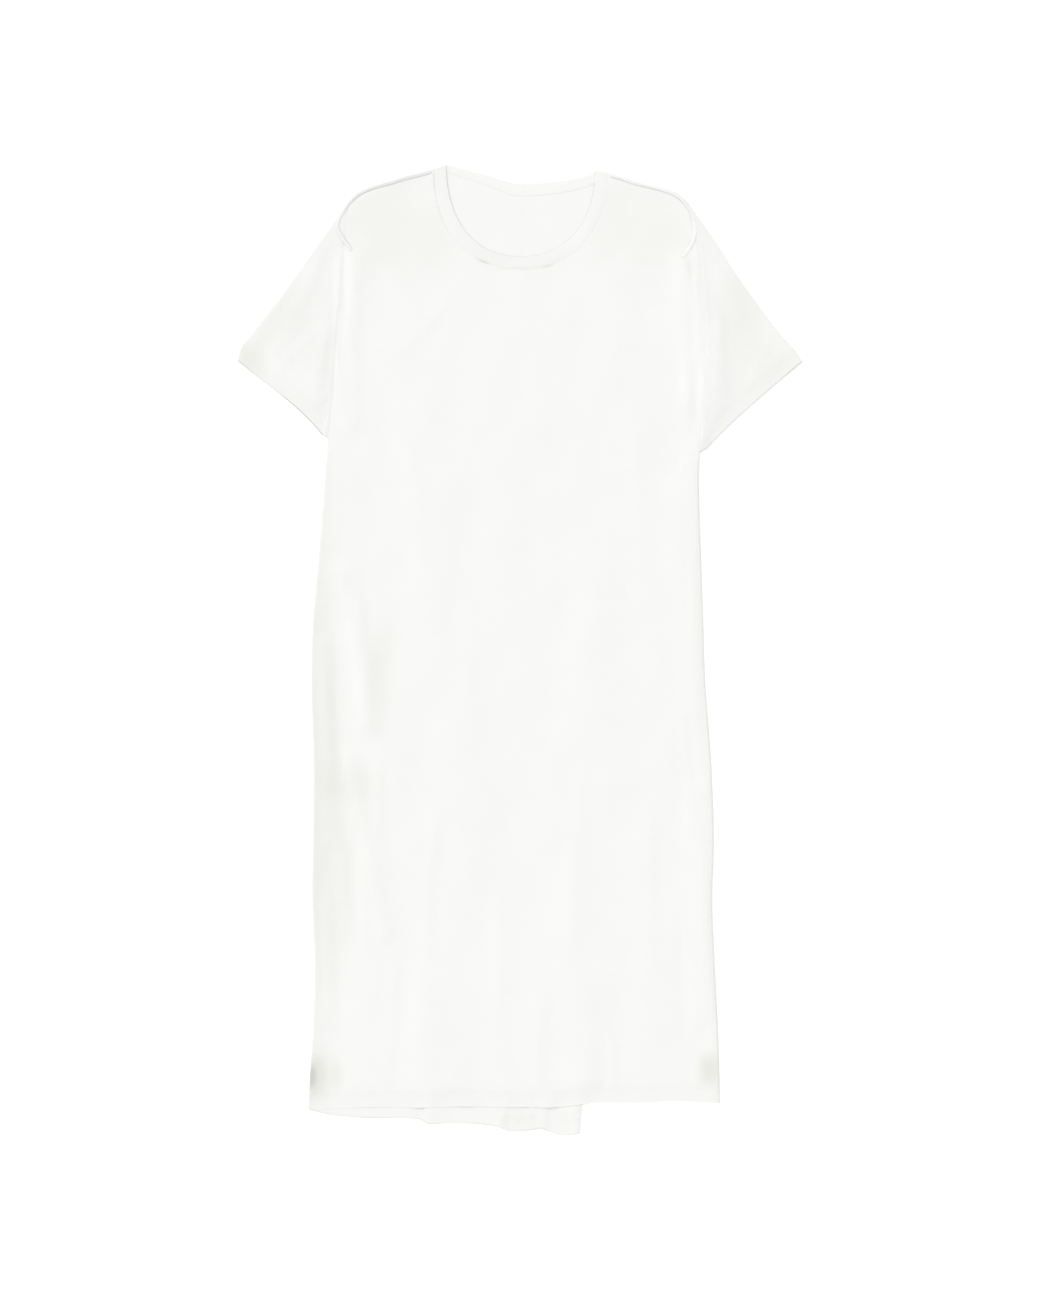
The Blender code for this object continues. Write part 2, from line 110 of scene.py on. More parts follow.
CENTRE_BACK_TOP = 0.003
CENTRE_BACK_HEM = -0.013
CENTRE_BACK_RIDGE = 0.0003
CENTRE_BACK_WIDTH = 0.006

# Sleeves: the cuff's corners, how far the cuff bows inwards, and how much more towards the underarm
Sleeve = namedtuple("Sleeve", "tip tip_down inner inner_down cuff_bow cuff_lean")
SLEEVES = {
    "left": Sleeve(0.3585, 0.249, 0.2515, 0.343, 0.0038, 0.8),
    "right": Sleeve(0.3585, 0.25, 0.236, 0.361, 0.0026, 0.4),
}
# How far each sleeve's upper fold bows outwards, along it from the armhole to the cuff
FOLD_BOWS = measures(
    "along left right",
    (0.00, 0.0000, 0.0000),
    (0.25, 0.0004, -0.0008),
    (0.50, 0.0010, -0.0036),
    (0.70, 0.0026, -0.0034),
    (0.85, 0.0046, -0.0020),
    (0.93, 0.0052, 0.0004),
    (1.00, 0.0000, 0.0000),
)

# The back's hem, from each side to the centre
BACK_HEM = {
    "left": measures(
        "across down",
        (-0.270, 1.200), (-0.240, 1.2073), (-0.200, 1.2106), (-0.160, 1.2110),
        (-0.135, 1.2115), (-0.128, 1.2120), (-0.118, 1.218), (-0.108, 1.2185),
        (-0.096, 1.217), (-0.080, 1.217), (-0.056, 1.218), (-0.032, 1.221),
        (-0.013, 1.228),
    ),
    "right": measures(
        "across down",
        (0.254, 1.192), (0.216, 1.189), (0.165, 1.189), (0.120, 1.190),
        (0.0770, 1.191), (0.0766, 1.2292), (0.0752, 1.2312), (0.066, 1.232),
        (0.052, 1.233), (0.040, 1.2292), (0.026, 1.224), (0.008, 1.227),
        (-0.013, 1.228),
    ),
}

# Folds of the centre pleat: where each lies at the hem, its reach to the left and the right
PLEATS = measures(
    "across reach_left reach_right height",
    (-0.118, 0.0008, 0.020, 0.0022),
    (-0.019, 0.0150, 0.0012, 0.0010),
    (0.012, 0.0014, 0.0120, 0.0010),
    (0.031, 0.010, 0.0012, 0.0014),
    (0.0757, 0.018, 0.0012, 0.0018),
)
PLEAT_HALF_FOLD = 0.0006
PLEAT_START_DOWN = 0.95
PLEAT_FULL_DOWN = 1.15
HEM_DEPTH = 0.022
HEM_STEP = 0.00016
HEM_STEP_RUN = 0.0012
HEM_EDGE = 0.0008


def y_at(down):
    return LENGTH / 2 - down


def pairs(first, second):
    return np.stack(np.broadcast_arrays(first, second), axis=-1)


def spots(x, down, z):
    return np.stack(np.broadcast_arrays(x, y_at(down), z), axis=-1)


def between(start, end, share):
    return start + (end - start) * share


def eased(share):
    share = np.clip(share, 0.0, 1.0)
    return share * share * (3 - 2 * share)


def bell(away, half_width):
    return np.exp(-((away / half_width) ** 2))


def through(rows, place, value, at):
    """A smooth curve through a column of measures, read at many places."""
    places, values = (np.array([getattr(row, column) for row in rows]) for column in (place, value))
    slopes = np.gradient(values, places)
    at = np.clip(np.asarray(at, float), places[0], places[-1])
    i = np.clip(np.searchsorted(places, at, side="right") - 1, 0, len(places) - 2)
    step = places[i + 1] - places[i]
    t = (at - places[i]) / step
    start = (2 * t**3 - 3 * t**2 + 1) * values[i] + (t**3 - 2 * t**2 + t) * step * slopes[i]
    return start + (3 * t**2 - 2 * t**3) * values[i + 1] + (t**3 - t**2) * step * slopes[i + 1]


def side_x(side, down):
    return SIGN[side] * through(SECTIONS, "down", side, down)


def shoulder_x(side, share):
    neck = NECK_CENTRE + SIGN[side] * SEAM_HALF
    return between(neck, SIGN[side] * getattr(SECTIONS[0], side), share)


def shoulder_down(side, x):
    neck, arm = shoulder_x(side, 0), shoulder_x(side, 1)
    return through(SHOULDERS, "share", side, (x - neck) / (arm - neck))


def neck_curve(half, lowest, roundness, turn, tops=SEAM_TOP_DOWN):
    """Points of a neck curve, as x and how far down. turn runs from 0 at the left to 1."""
    across = -np.cos(np.pi * turn)
    start = between(*tops, (across + 1) / 2)
    power = between(*roundness, eased((across + 0.4) / 0.8))
    depth = np.maximum(1 - np.abs(across) ** power, 0.0) ** (1 / power)
    return pairs(NECK_CENTRE + half * across, between(start, lowest, depth))


def sleeve_armhole(side, s):
    down = between(ARMHOLE_TOP, ARMPIT_DOWN[side] - ARMPIT_GAP, s)
    return pairs(side_x(side, down) + SIGN[side] * SEAM_GAP / 2, down)


def sleeve_point(side, s, t):
    """s runs from the top fold to the underarm, t from the armhole to the cuff."""
    sleeve, sign = SLEEVES[side], SIGN[side]
    tip = np.array([sign * sleeve.tip, sleeve.tip_down])
    inner = np.array([sign * sleeve.inner, sleeve.inner_down])
    s, t = (np.asarray(v, float)[..., None] for v in np.broadcast_arrays(s, t))
    bow = through(FOLD_BOWS, "along", side, t) * np.array([sign, -0.5])
    cuff_in = np.array([-sign * (inner[1] - tip[1]), -abs(inner[0] - tip[0])])
    cuff_in *= sleeve.cuff_bow / math.dist(tip, inner)
    cuff = between(tip, inner, s) + cuff_in * 4 * s * (1 - s) * (1 + sleeve.cuff_lean * (2 * s - 1))
    return between(sleeve_armhole(side, s[..., 0]), cuff, t) + bow * (1 - s)


def away_from(path, x, down):
    """Distance of many places from a line through points, each x and how far down."""
    places = pairs(np.ravel(x), np.ravel(down))
    starts, runs = path[:-1], path[1:] - path[:-1]
    lengths = np.maximum((runs**2).sum(-1), 1e-12)
    nearest = np.full(len(places), np.inf)
    for start, run, length in zip(starts, runs, lengths):
        share = np.clip(((places - start) @ run) / length, 0.0, 1.0)
        gap = places - start - share[:, None] * run
        nearest = np.minimum(nearest, np.sqrt((gap**2).sum(-1)))
    return nearest.reshape(np.shape(x))


def edge_paths(side):
    """One side's folded edges: shoulder, top and underside of the sleeve, and side of the body."""
    x = shoulder_x(side, np.linspace(0, 1, 13))
    t = np.linspace(0, 1, 9)
    down = np.linspace(ARMPIT_DOWN[side], PAST_HEM, 30)
    return [pairs(x, shoulder_down(side, x)), sleeve_point(side, 0, t), sleeve_point(side, 1, t),
            pairs(side_x(side, down), down)]


EDGES = edge_paths("left") + edge_paths("right")


def pleat_share(down):
    return eased((down - PLEAT_START_DOWN) / (PLEAT_FULL_DOWN - PLEAT_START_DOWN))


def pleat_height(x, least_reach=0.0):
    """How high the pleat's folds stand across the hem. A covering layer smooths them."""
    total = np.zeros_like(x)
    for pleat in PLEATS:
        reach = np.where(x < pleat.across, pleat.reach_left, pleat.reach_right)
        fold = pleat.height * bell(x - pleat.across, np.maximum(reach, least_reach))
        total = np.maximum(total, fold)
    return total


def turned_in(away, depth):
    """Extra height where an edge is turned in, at a distance from that edge."""
    return HEM_STEP * (1 - eased((away - depth) / HEM_STEP_RUN))


def put_in_scene(name, data):
    """An object of this name and data, at the origin."""
    piece = bpy.data.objects.new(name, data)
    bpy.context.scene.collection.objects.link(piece)
    return piece


def apply_modifiers(piece, keep_layers):
    """Makes a piece with modifiers a plain mesh."""
    graph = bpy.context.evaluated_depsgraph_get()
    data = bpy.data.meshes.new_from_object(
        piece.evaluated_get(graph), preserve_all_data_layers=keep_layers, depsgraph=graph)
    piece.modifiers.clear()
    piece.data = data
    return data


def grid_faces(index):
    """Four-cornered faces over rows and columns of point numbers."""
    corners = (index[:-1, :-1], index[:-1, 1:], index[1:, 1:], index[1:, :-1])
    return np.stack(corners, axis=-1).reshape(-1, 4)


def cloth_mesh(name, points, faces, grain, tone):
    """A smooth surface, with its grain in metres as UV and its tone as an attribute."""
    data = bpy.data.meshes.new(name)
    data.from_pydata(points.reshape(-1, 3).tolist(), [], faces.tolist())
    data.shade_smooth()
    corners = grain.reshape(-1, 2)[faces]
    data.uv_layers.new(name="Grain").data.foreach_set("uv", corners.ravel())
    data.attributes.new("tone", "FLOAT", "POINT").data.foreach_set("value", tone.ravel())
    return put_in_scene(name, data)


def sheet_of_cloth(name, points, grain, tone, closed=False, wall=CLOTH):
    """Cloth on rows of points, given its thickness inwards. closed joins each row into a ring."""
    index = np.arange(tone.size).reshape(tone.shape)
    if closed:
        index = np.pad(index, ((0, 0), (0, 1)), "wrap")
    piece = cloth_mesh(name, points, grid_faces(index), grain, tone)
    thick = piece.modifiers.new("Wall", "SOLIDIFY")
    thick.thickness = wall
    thick.offset = -1
    apply_modifiers(piece, keep_layers=True).set_sharp_from_angle(angle=CUT_EDGE)
    return piece


def new_material(name):
    material = bpy.data.materials.new(name)
    material.use_nodes = True
    return material, material.node_tree, material.node_tree.nodes["Principled BSDF"]


def fill(node, inputs):
    """Sets a node's inputs by name, each to a value or by a link from another node's output."""
    for name, value in inputs.items():
        if isinstance(value, bpy.types.NodeSocket):
            node.id_data.links.new(value, node.inputs[name])
        else:
            node.inputs[name].default_value = value


def add_node(tree, kind, inputs=None, **settings):
    node = tree.nodes.new(kind)
    for name, value in settings.items():
        setattr(node, name, value)
    fill(node, inputs or {})
    return node


def maths(tree, operation, *values):
    node = add_node(tree, "ShaderNodeMath", dict(enumerate(values)), operation=operation)
    return node.outputs["Value"]


def colour_ramp(tree, share, *colours):
    """A mix of colours that stand an even distance apart."""
    ramp = add_node(tree, "ShaderNodeValToRGB", {"Fac": share})
    stops = ramp.color_ramp.elements
    for i in range(1, len(colours) - 1):
        stops.new(i / (len(colours) - 1))
    for stop, colour in zip(stops, colours):
        stop.color = (*colour, 1)
    return ramp.outputs["Color"]


def jersey(name, single, double, deep, edge, wale, course, relief):
    """Fine knit: upright wales of small loops, a soft nap, and a tone that tells how many layers
    of the sheer cloth lie on each other (tone 1 one, 0 two, -1 many, -2 a dense folded edge
    with its painted shadow). The tone also carries painted shade and painted highlights."""
    material, tree, shader = new_material(name)
    layers = add_node(tree, "ShaderNodeAttribute", attribute_name="tone")
    place = add_node(tree, "ShaderNodeTexCoord")
    cloudy = add_node(tree, "ShaderNodeTexNoise", {
        "Vector": place.outputs["Object"], "Scale": 26.0, "Detail": 3.0})
    uneven = add_node(tree, "ShaderNodeMapRange", {
        "Value": cloudy.outputs["Fac"], "From Min": 0.3, "From Max": 0.7,
        "To Min": -0.035, "To Max": 0.035})
    tone = maths(tree, "ADD", layers.outputs["Fac"], uneven.outputs["Result"])
    share = add_node(tree, "ShaderNodeMapRange", {"Value": tone, "From Min": -2.0, "From Max": 1.0})
    colour = colour_ramp(tree, share.outputs["Result"], edge, deep, double, single)
    # Loops: two sines along the grain, the rows shifted by the wales so that they read as small Vs
    grain = add_node(tree, "ShaderNodeUVMap", uv_map="Grain")
    split = add_node(tree, "ShaderNodeSeparateXYZ", {"Vector": grain.outputs["UV"]})
    upright = maths(tree, "SINE", maths(tree, "MULTIPLY", split.outputs["X"], 2 * math.pi / wale))
    half_wave = maths(tree, "SINE", maths(tree, "MULTIPLY", split.outputs["X"], math.pi / wale))
    slant = maths(tree, "MULTIPLY", maths(tree, "ABSOLUTE", half_wave), 2.4)
    rows = maths(tree, "MULTIPLY", split.outputs["Y"], 2 * math.pi / course)
    slanted = maths(tree, "SINE", maths(tree, "ADD", rows, slant))
    loops = maths(tree, "ADD", maths(tree, "MULTIPLY", upright, 0.6),
                  maths(tree, "MULTIPLY", slanted, 0.4))
    bump = add_node(tree, "ShaderNodeBump", {"Height": loops, "Strength": relief, "Distance": 0.0002})
    fill(shader, {
        "Base Color": colour, "Normal": bump.outputs["Normal"], "Roughness": 0.9,
        "Specular IOR Level": 0.2, "Sheen Weight": 0.12, "Sheen Roughness": 0.6})
    return material


# The darkest tone: a dense folded edge, painted darker still as the shadow along it
DENSE_EDGE_AND_SHADOW = (0.42, 0.42, 0.4)
WHITE_JERSEY = jersey(
    "White_jersey", single=(0.955, 0.955, 0.94), double=(0.912, 0.912, 0.895),
    deep=(0.762, 0.768, 0.71), edge=DENSE_EDGE_AND_SHADOW, wale=0.001, course=0.0008, relief=0.35)

# Soft folds of the upper layer, each along a line on the cloth
FOLDS = measures(
    "across down to_across to_down half_width height",
    (-0.226, 0.521, -0.189, 0.706, 0.015, 0.0034),
    (-0.215, 0.757, -0.174, 0.973, 0.014, 0.0024),
    (-0.246, 0.610, -0.240, 0.860, 0.010, 0.0016),
    (-0.208, 0.118, -0.216, 0.330, 0.012, 0.0018),
    (0.207, 0.120, 0.214, 0.300, 0.012, 0.0018),
    (0.200, 0.425, 0.216, 0.690, 0.014, 0.0014),
    (0.222, 0.800, 0.228, 1.080, 0.014, 0.0014),
    (-0.110, 0.420, -0.080, 0.900, 0.034, 0.0012),
    (0.105, 0.520, 0.080, 1.020, 0.036, 0.0012),
    (-0.262, 0.150, -0.318, 0.256, 0.016, 0.0012),
    (0.258, 0.150, 0.312, 0.262, 0.016, 0.0012),
    (-0.262, 0.318, -0.246, 0.215, 0.012, 0.0009),
    (0.252, 0.330, 0.248, 0.215, 0.012, 0.0009),
)

# Creases: a sharper ridge with a trough beside it (lean 1 to its right, -1 to its left), bent
# sideways by bend at its middle, and fading out at both ends
CREASES = measures(
    "across down to_across to_down bend half_width height lean",
    (-0.206, 0.530, -0.196, 0.720, 0.004, 0.0065, 0.0011, 1),
    (-0.188, 0.585, -0.176, 0.700, -0.003, 0.0060, 0.0008, -1),
    (-0.232, 0.560, -0.226, 0.700, 0.003, 0.0050, 0.0007, 1),
    (-0.243, 0.640, -0.232, 0.800, -0.004, 0.0055, 0.0010, 1),
    (-0.228, 0.735, -0.205, 0.830, 0.005, 0.0050, 0.0008, -1),
    (-0.180, 0.760, -0.172, 0.880, -0.003, 0.0055, 0.0009, 1),
    (-0.236, 0.820, -0.222, 0.960, 0.004, 0.0060, 0.0008, 1),
    (-0.206, 0.880, -0.196, 1.010, 0.003, 0.0050, 0.0007, -1),
    (-0.243, 0.930, -0.236, 1.090, -0.004, 0.0055, 0.0008, 1),
    (-0.228, 0.120, -0.232, 0.210, 0.001, 0.0040, 0.0007, 1),
    (-0.214, 0.110, -0.222, 0.250, 0.003, 0.0040, 0.0006, -1),
    (-0.236, 0.225, -0.226, 0.330, 0.004, 0.0045, 0.0008, 1),
    (-0.238, 0.355, -0.202, 0.420, 0.006, 0.0060, 0.0008, 1),
    (0.222, 0.130, 0.226, 0.260, -0.002, 0.0045, 0.0009, 1),
    (0.224, 0.230, 0.214, 0.345, -0.004, 0.0055, 0.0010, 1),
    (0.210, 0.205, 0.204, 0.310, 0.003, 0.0040, 0.0006, -1),
    (0.218, 0.372, 0.182, 0.430, -0.006, 0.0060, 0.0007, -1),
    (0.214, 0.470, 0.220, 0.610, 0.003, 0.0050, 0.0007, -1),
    (0.226, 0.640, 0.234, 0.800, -0.004, 0.0050, 0.0008, 1),
    (0.206, 0.700, 0.213, 0.860, 0.004, 0.0060, 0.0006, -1),
    (0.231, 0.860, 0.236, 1.010, 0.003, 0.0055, 0.0007, 1),
    (0.214, 0.960, 0.226, 1.120, -0.004, 0.0060, 0.0007, -1),
    (-0.150, 0.330, -0.128, 0.560, 0.010, 0.0110, 0.0006, 1),
    (-0.060, 0.480, -0.052, 0.800, -0.008, 0.0120, 0.0005, -1),
    (0.020, 0.300, 0.034, 0.620, 0.008, 0.0130, 0.0005, 1),
    (0.082, 0.760, 0.070, 1.060, -0.010, 0.0120, 0.0006, 1),
    (0.142, 0.330, 0.150, 0.600, 0.008, 0.0120, 0.0005, -1),
    (0.160, 0.820, 0.150, 1.090, 0.008, 0.0110, 0.0006, 1),
    (-0.104, 0.820, -0.122, 1.120, -0.008, 0.0110, 0.0007, 1),
    (-0.030, 0.900, -0.036, 1.170, 0.006, 0.0100, 0.0006, -1),
    (-0.160, 1.000, -0.176, 1.180, 0.005, 0.0080, 0.0006, 1),
    (0.030, 1.060, 0.022, 1.190, -0.004, 0.0080, 0.0007, 1),
    (0.112, 1.100, 0.118, 1.188, 0.003, 0.0070, 0.0006, -1),
    (-0.084, 0.160, -0.168, 0.250, 0.006, 0.0090, 0.0005, 1),
    (0.078, 0.165, 0.160, 0.240, -0.006, 0.0090, 0.0005, -1),
    (-0.250, 0.110, -0.300, 0.215, 0.004, 0.0070, 0.00040, 1),
    (-0.256, 0.210, -0.312, 0.275, -0.004, 0.0065, 0.00040, -1),
    (-0.244, 0.290, -0.276, 0.312, 0.002, 0.0050, 0.00035, 1),
    (-0.242, 0.180, -0.262, 0.290, 0.003, 0.0060, 0.00035, 1),
    (-0.318, 0.222, -0.300, 0.290, 0.002, 0.0060, 0.00030, -1),
    (0.244, 0.120, 0.288, 0.200, -0.004, 0.0070, 0.00040, -1),
    (0.250, 0.205, 0.312, 0.276, 0.004, 0.0065, 0.00040, 1),
    (0.240, 0.300, 0.262, 0.322, -0.002, 0.0050, 0.00035, -1),
    (0.254, 0.190, 0.262, 0.300, -0.003, 0.0060, 0.00035, 1),
    (0.316, 0.226, 0.290, 0.292, -0.002, 0.0060, 0.00030, 1),
)
# Long low waves all over the cloth, each turned by an angle from the way across
WAVES = measures(
    "length turn phase height",
    (0.115, 0.20, 0.4, 0.00030),
    (0.086, -0.35, 2.1, 0.00026),
    (0.061, 0.55, 4.4, 0.00020),
    (0.047, 1.25, 1.2, 0.00014),
    (0.033, -0.90, 5.3, 0.00010),
    (0.170, 1.45, 3.0, 0.00030),
)
LOFT = 0.0009
LOFT_WIDTH = 0.06
EDGE_WIDTH = 0.012
PLEAT_COVER_REACH = 0.036
PLEAT_COVER = 1.45
DEEPEST_TROUGH = 0.0002


def crease_height(crease, x, down):
    """A ridge with its trough, widening along the crease and fading out past its two ends."""
    run = np.array([crease.to_across - crease.across, crease.to_down - crease.down])
    length = math.hypot(*run)
    across, along = x - crease.across, down - crease.down
    t = (across * run[0] + along * run[1]) / length**2
    on = np.clip(t, 0, 1)
    beside = (across * run[1] - along * run[0]) / length - crease.bend * 4 * on * (1 - on)
    ends = eased((t + 0.12) / 0.3) * eased((1.12 - t) / 0.42)
    width = crease.half_width * (0.75 + 0.5 * on)
    trough = 0.55 * bell(beside - 1.7 * crease.lean * width, 1.15 * width)
    return crease.height * (bell(beside, width) - trough) * ends


def waves(x, down):
    """The waves at a place, drawn out down the dress and drifting from side to side."""
    total = np.zeros_like(x)
    for wave in WAVES:
        along = x * math.cos(wave.turn) + down * math.sin(wave.turn) * 0.45
        drift = 0.6 * np.sin(9.0 * down + 3.0 * x + wave.phase)
        total += wave.height * np.sin(2 * np.pi * along / wave.length + wave.phase + drift)
    return total


def upper_top(x, down):
    """Height of the upper layer's outer face, anywhere on the dress."""
    x, down = np.broadcast_arrays(x, down)
    away = np.minimum.reduce([away_from(path, x, down) for path in EDGES])
    height = between(FLAT_TOP, EDGE_TOP, bell(np.maximum(away - PUFF_WIDTH, 0.0), PUFF_FADE))
    for fold in FOLDS:
        line = np.reshape(fold[:4], (2, 2))
        height = height + fold.height * bell(away_from(line, x, down), fold.half_width)
    inside = eased(away / EDGE_WIDTH)
    for crease in CREASES:
        height = height + crease_height(crease, x, down) * inside
    loft = LOFT * eased(away / LOFT_WIDTH)
    height = height + (loft + waves(x, down) * (0.35 + 0.65 * inside)) * inside
    over_pleat = PLEAT_COVER * pleat_height(x, PLEAT_COVER_REACH) * pleat_share(down)
    return np.maximum(height, FLAT_TOP - DEEPEST_TROUGH) + over_pleat


SEAM_DEPTH = 0.0001
SEAM_WIDTH = 0.0014
SEAM_SHADE_WIDTH = 0.0016
ALLOWANCE_RISE = 0.00022
ALLOWANCE_AWAY = 0.0036
ALLOWANCE_WIDTH = 0.0026


def seam_relief(away):
    """Cloth is drawn down into a seam, and stands a little beside it over the turned-in edges."""
    allowance = ALLOWANCE_RISE * bell(away - ALLOWANCE_AWAY, ALLOWANCE_WIDTH)
    return allowance - SEAM_DEPTH * bell(away, SEAM_WIDTH)


# Tints are patches painted lighter or darker: centre, half sizes, turn and tone. Some are where
# more or fewer layers of the sheer cloth show, others are painted shade and painted highlights
# along folds and seams. These are painted fold shadows on the stretch of the back that drops
# below the front.
TINT = "across down half_across half_down turn tone"
DROP_PAINTED_SHADOWS = measures(
    TINT,
    (0.004, 1.212, 0.020, 0.014, 0.00, -0.20),
    (-0.020, 1.214, 0.003, 0.014, 0.15, -0.35),
    (0.058, 1.214, 0.012, 0.012, 0.00, -0.15),
)
DROP_DOWN = 1.19
NECK_VIEW_HALF = 0.12
NECK_VIEW_DOWN = 0.16
NECK_VIEW_FADE = 0.02
SHOULDER_POINTS = 26
BACK_NECK_POINTS = 31


def tints(rows, x, down):
    """The sum of tints at a place, each nearly even in its middle and soft round its edge."""
    total = np.zeros_like(x)
    for tint in rows:
        across, along = x - tint.across, down - tint.down
        a = (across * math.cos(tint.turn) + along * math.sin(tint.turn)) / tint.half_across
        b = (along * math.cos(tint.turn) - across * math.sin(tint.turn)) / tint.half_down
        total = total + tint.tone * np.exp(-(np.abs(a) ** 2.6) - np.abs(b) ** 2.6)
    return total


def centre_back_x(down):
    share = (down - BACK_SEAM_DOWN) / (BACK_HEM["left"][-1].down - BACK_SEAM_DOWN)
    return between(CENTRE_BACK_TOP, CENTRE_BACK_HEM, share)


HEM_ZONE = 0.026
TOP_ZONE = 0.024


def row_levels(length, hem_rows, middle_rows, top_rows):
    """Shares from the hem to the top, closer together in the hem and near the top seams."""
    hem_end, top_start = HEM_ZONE / length, 1 - TOP_ZONE / length
    hem = np.linspace(0.0, hem_end, hem_rows, endpoint=False)
    middle = np.linspace(hem_end, top_start, middle_rows, endpoint=False)
    return np.concatenate([hem, middle, np.linspace(top_start, 1.0, top_rows + 1)])


def back_panel(side):
    """Points of the panel's inner face from the hem to its top edge, and their tone."""
    def share_of_width(x, down):
        edge = side_x(side, down)
        return (x - edge) / (centre_back_x(down) - edge)

    shoulder = shoulder_x(side, np.linspace(1, 0, SHOULDER_POINTS))
    turn = np.linspace(0.0 if side == "left" else 1.0, 0.5, BACK_NECK_POINTS)[1:]
    neck = neck_curve(SEAM_HALF, BACK_SEAM_DOWN, BACK_ROUNDNESS, turn)
    neck[:, 1] = np.maximum(neck[:, 1], getattr(SHOULDERS[0], side) + BAND_ROUND)
    tops = np.concatenate([pairs(shoulder, shoulder_down(side, shoulder) + SHOULDER_ROUND), neck])
    # Columns keep to the pleat's folds at the hem and spread evenly at the top
    shares = np.linspace(0, 1, len(tops))
    spread = between(side_x(side, HEM_CORNER), CENTRE_BACK_HEM, shares)
    for pleat in PLEATS:
        for x in (pleat.across - PLEAT_HALF_FOLD, pleat.across + PLEAT_HALF_FOLD):
            if min(spread[0], spread[-1]) < x < max(spread[0], spread[-1]):
                spread[np.argmin(np.abs(spread - x))] = x
    spread = np.sort(spread)[:: -SIGN[side]]
    hem_down = np.interp(spread, *zip(*sorted(BACK_HEM[side])))
    levels = row_levels(LENGTH, 13, 170, 12)[:, None]
    share = between(share_of_width(spread, hem_down), share_of_width(*tops.T), levels)
    share[:, 0], share[:, -1] = 0.0, 1.0
    down = between(hem_down, tops[:, 1], levels)
    inset = np.where(down < ARMPIT_DOWN[side], SEAM_GAP / 2, SIDE_INSET)
    x = between(side_x(side, down) - SIGN[side] * inset, centre_back_x(down), share)
    from_seam = x - centre_back_x(down)
    hem_away = hem_down - down
    rise = CLOTH + pleat_height(np.broadcast_to(spread, x.shape)) * pleat_share(down)
    ridge = CENTRE_BACK_RIDGE * bell(from_seam, CENTRE_BACK_WIDTH)
    rise = rise + ridge + turned_in(hem_away, HEM_DEPTH)
    # The wrong side with its seam, as the neck shows it, painted fold shadows on the drop, and the
    # hem's dense folded edge, painted darker still as a thin shadow line along it
    in_neck = eased((NECK_VIEW_DOWN - down) / NECK_VIEW_FADE)
    in_neck = in_neck * eased((NECK_VIEW_HALF - np.abs(x)) / NECK_VIEW_FADE)
    tone = tints(DROP_PAINTED_SHADOWS, x, down) - 0.1 * eased((down - DROP_DOWN) / 0.01)
    tone = tone + 0.1 * (1 - in_neck) - 0.06 * bell(from_seam, SEAM_SHADE_WIDTH) * in_neck
    tone = tone - 1.1 * bell(hem_away, HEM_EDGE) * (0.7 + 0.3 * np.sin(x / 0.011))
    return spots(x, down, rise), tone


FOLD_STEPS = 8
FORWARD_STEPS = 4


def shoulder_wrap(side, x):
    """Rows of points round the shoulder's fold and on to its seam, outside and inside the cloth,
    and how far round the fold each row is."""
    fold_down = shoulder_down(side, x)
    angle = np.radians(np.linspace(-90, 90, FOLD_STEPS + 1)[1:])[:, None]
    share = (1 + np.sin(angle)) / 2
    top = upper_top(x, fold_down + SHOULDER_ROUND)
    round_down = fold_down + SHOULDER_ROUND * (1 - np.cos(angle))
    fold = spots(x, round_down, between(CLOTH, top, share) * share)
    forward = np.linspace(SHOULDER_ROUND, SEAM_FORWARD, FORWARD_STEPS + 1)[1:, None]
    top = upper_top(x, fold_down + forward) + seam_relief(SEAM_FORWARD - forward)
    outer = np.concatenate([fold, spots(x, fold_down + forward, top)])
    angle = np.append(angle, np.full(FORWARD_STEPS, math.pi / 2))[:, None]
    inward = CLOTH * np.stack([0 * angle, np.cos(angle), np.sin(angle)], axis=-1)
    return np.stack([outer, outer - inward], axis=1), (1 + np.sin(angle)) / 2


def make_back(side):
    """The panel is laid down by its inner face, so its wall goes down to the table."""
    points, tone = back_panel(side)
    wrap, round_fold = shoulder_wrap(side, points[-1, :SHOULDER_POINTS, 0])
    index = np.arange(tone.size).reshape(tone.shape)
    under = index + tone.size
    wrap_index = 2 * tone.size + np.arange(wrap.size // 3).reshape(wrap.shape[:3])
    outside = np.concatenate([under[-1:, :SHOULDER_POINTS], wrap_index[:, 0]])
    inside = np.concatenate([index[-1:, :SHOULDER_POINTS], wrap_index[:, 1]])

    def rim(panel, shoulder):
        """Point numbers all round one face of the cloth."""
        return np.concatenate([
            panel[0], panel[1:, -1], panel[-1, -2 : SHOULDER_POINTS - 2 : -1], shoulder[1:, -1],
            shoulder[-1, -2::-1], shoulder[-2:0:-1, 0], panel[:0:-1, 0]])

    upper, lower = rim(index, inside), rim(under, outside)
    wall = np.stack([upper, lower, np.roll(lower, -1), np.roll(upper, -1)], axis=-1)
    faces = np.concatenate([grid_faces(index), grid_faces(under)[:, ::-1],
                            grid_faces(outside)[:, ::-1], grid_faces(inside), wall])
    if side == "right":
        faces = faces[:, ::-1]
    everything = np.concatenate([part.reshape(-1, 3) for part in (points, points * (1, 1, 0), wrap)])
    # The fold over the shoulder is painted darker as it turns under: painted shade, with the dense
    # fold
    wrap_tone = np.repeat(-1.2 * (1 - round_fold), 2 * SHOULDER_POINTS)
    tones = np.concatenate([tone.ravel(), tone.ravel(), wrap_tone])
    piece = cloth_mesh(f"back_{side}_cloth", everything, faces, everything[:, :2], tones)
    piece.data.set_sharp_from_angle(angle=CUT_EDGE)
    return piece


for side, cut, area in (("left", (0.28, 1.22), 0.30), ("right", (0.27, 1.23), 0.29)):
    back = make_back(side)
    back.data.materials.append(WHITE_JERSEY)
    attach(back, "root")
    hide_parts(f"back_{side}")

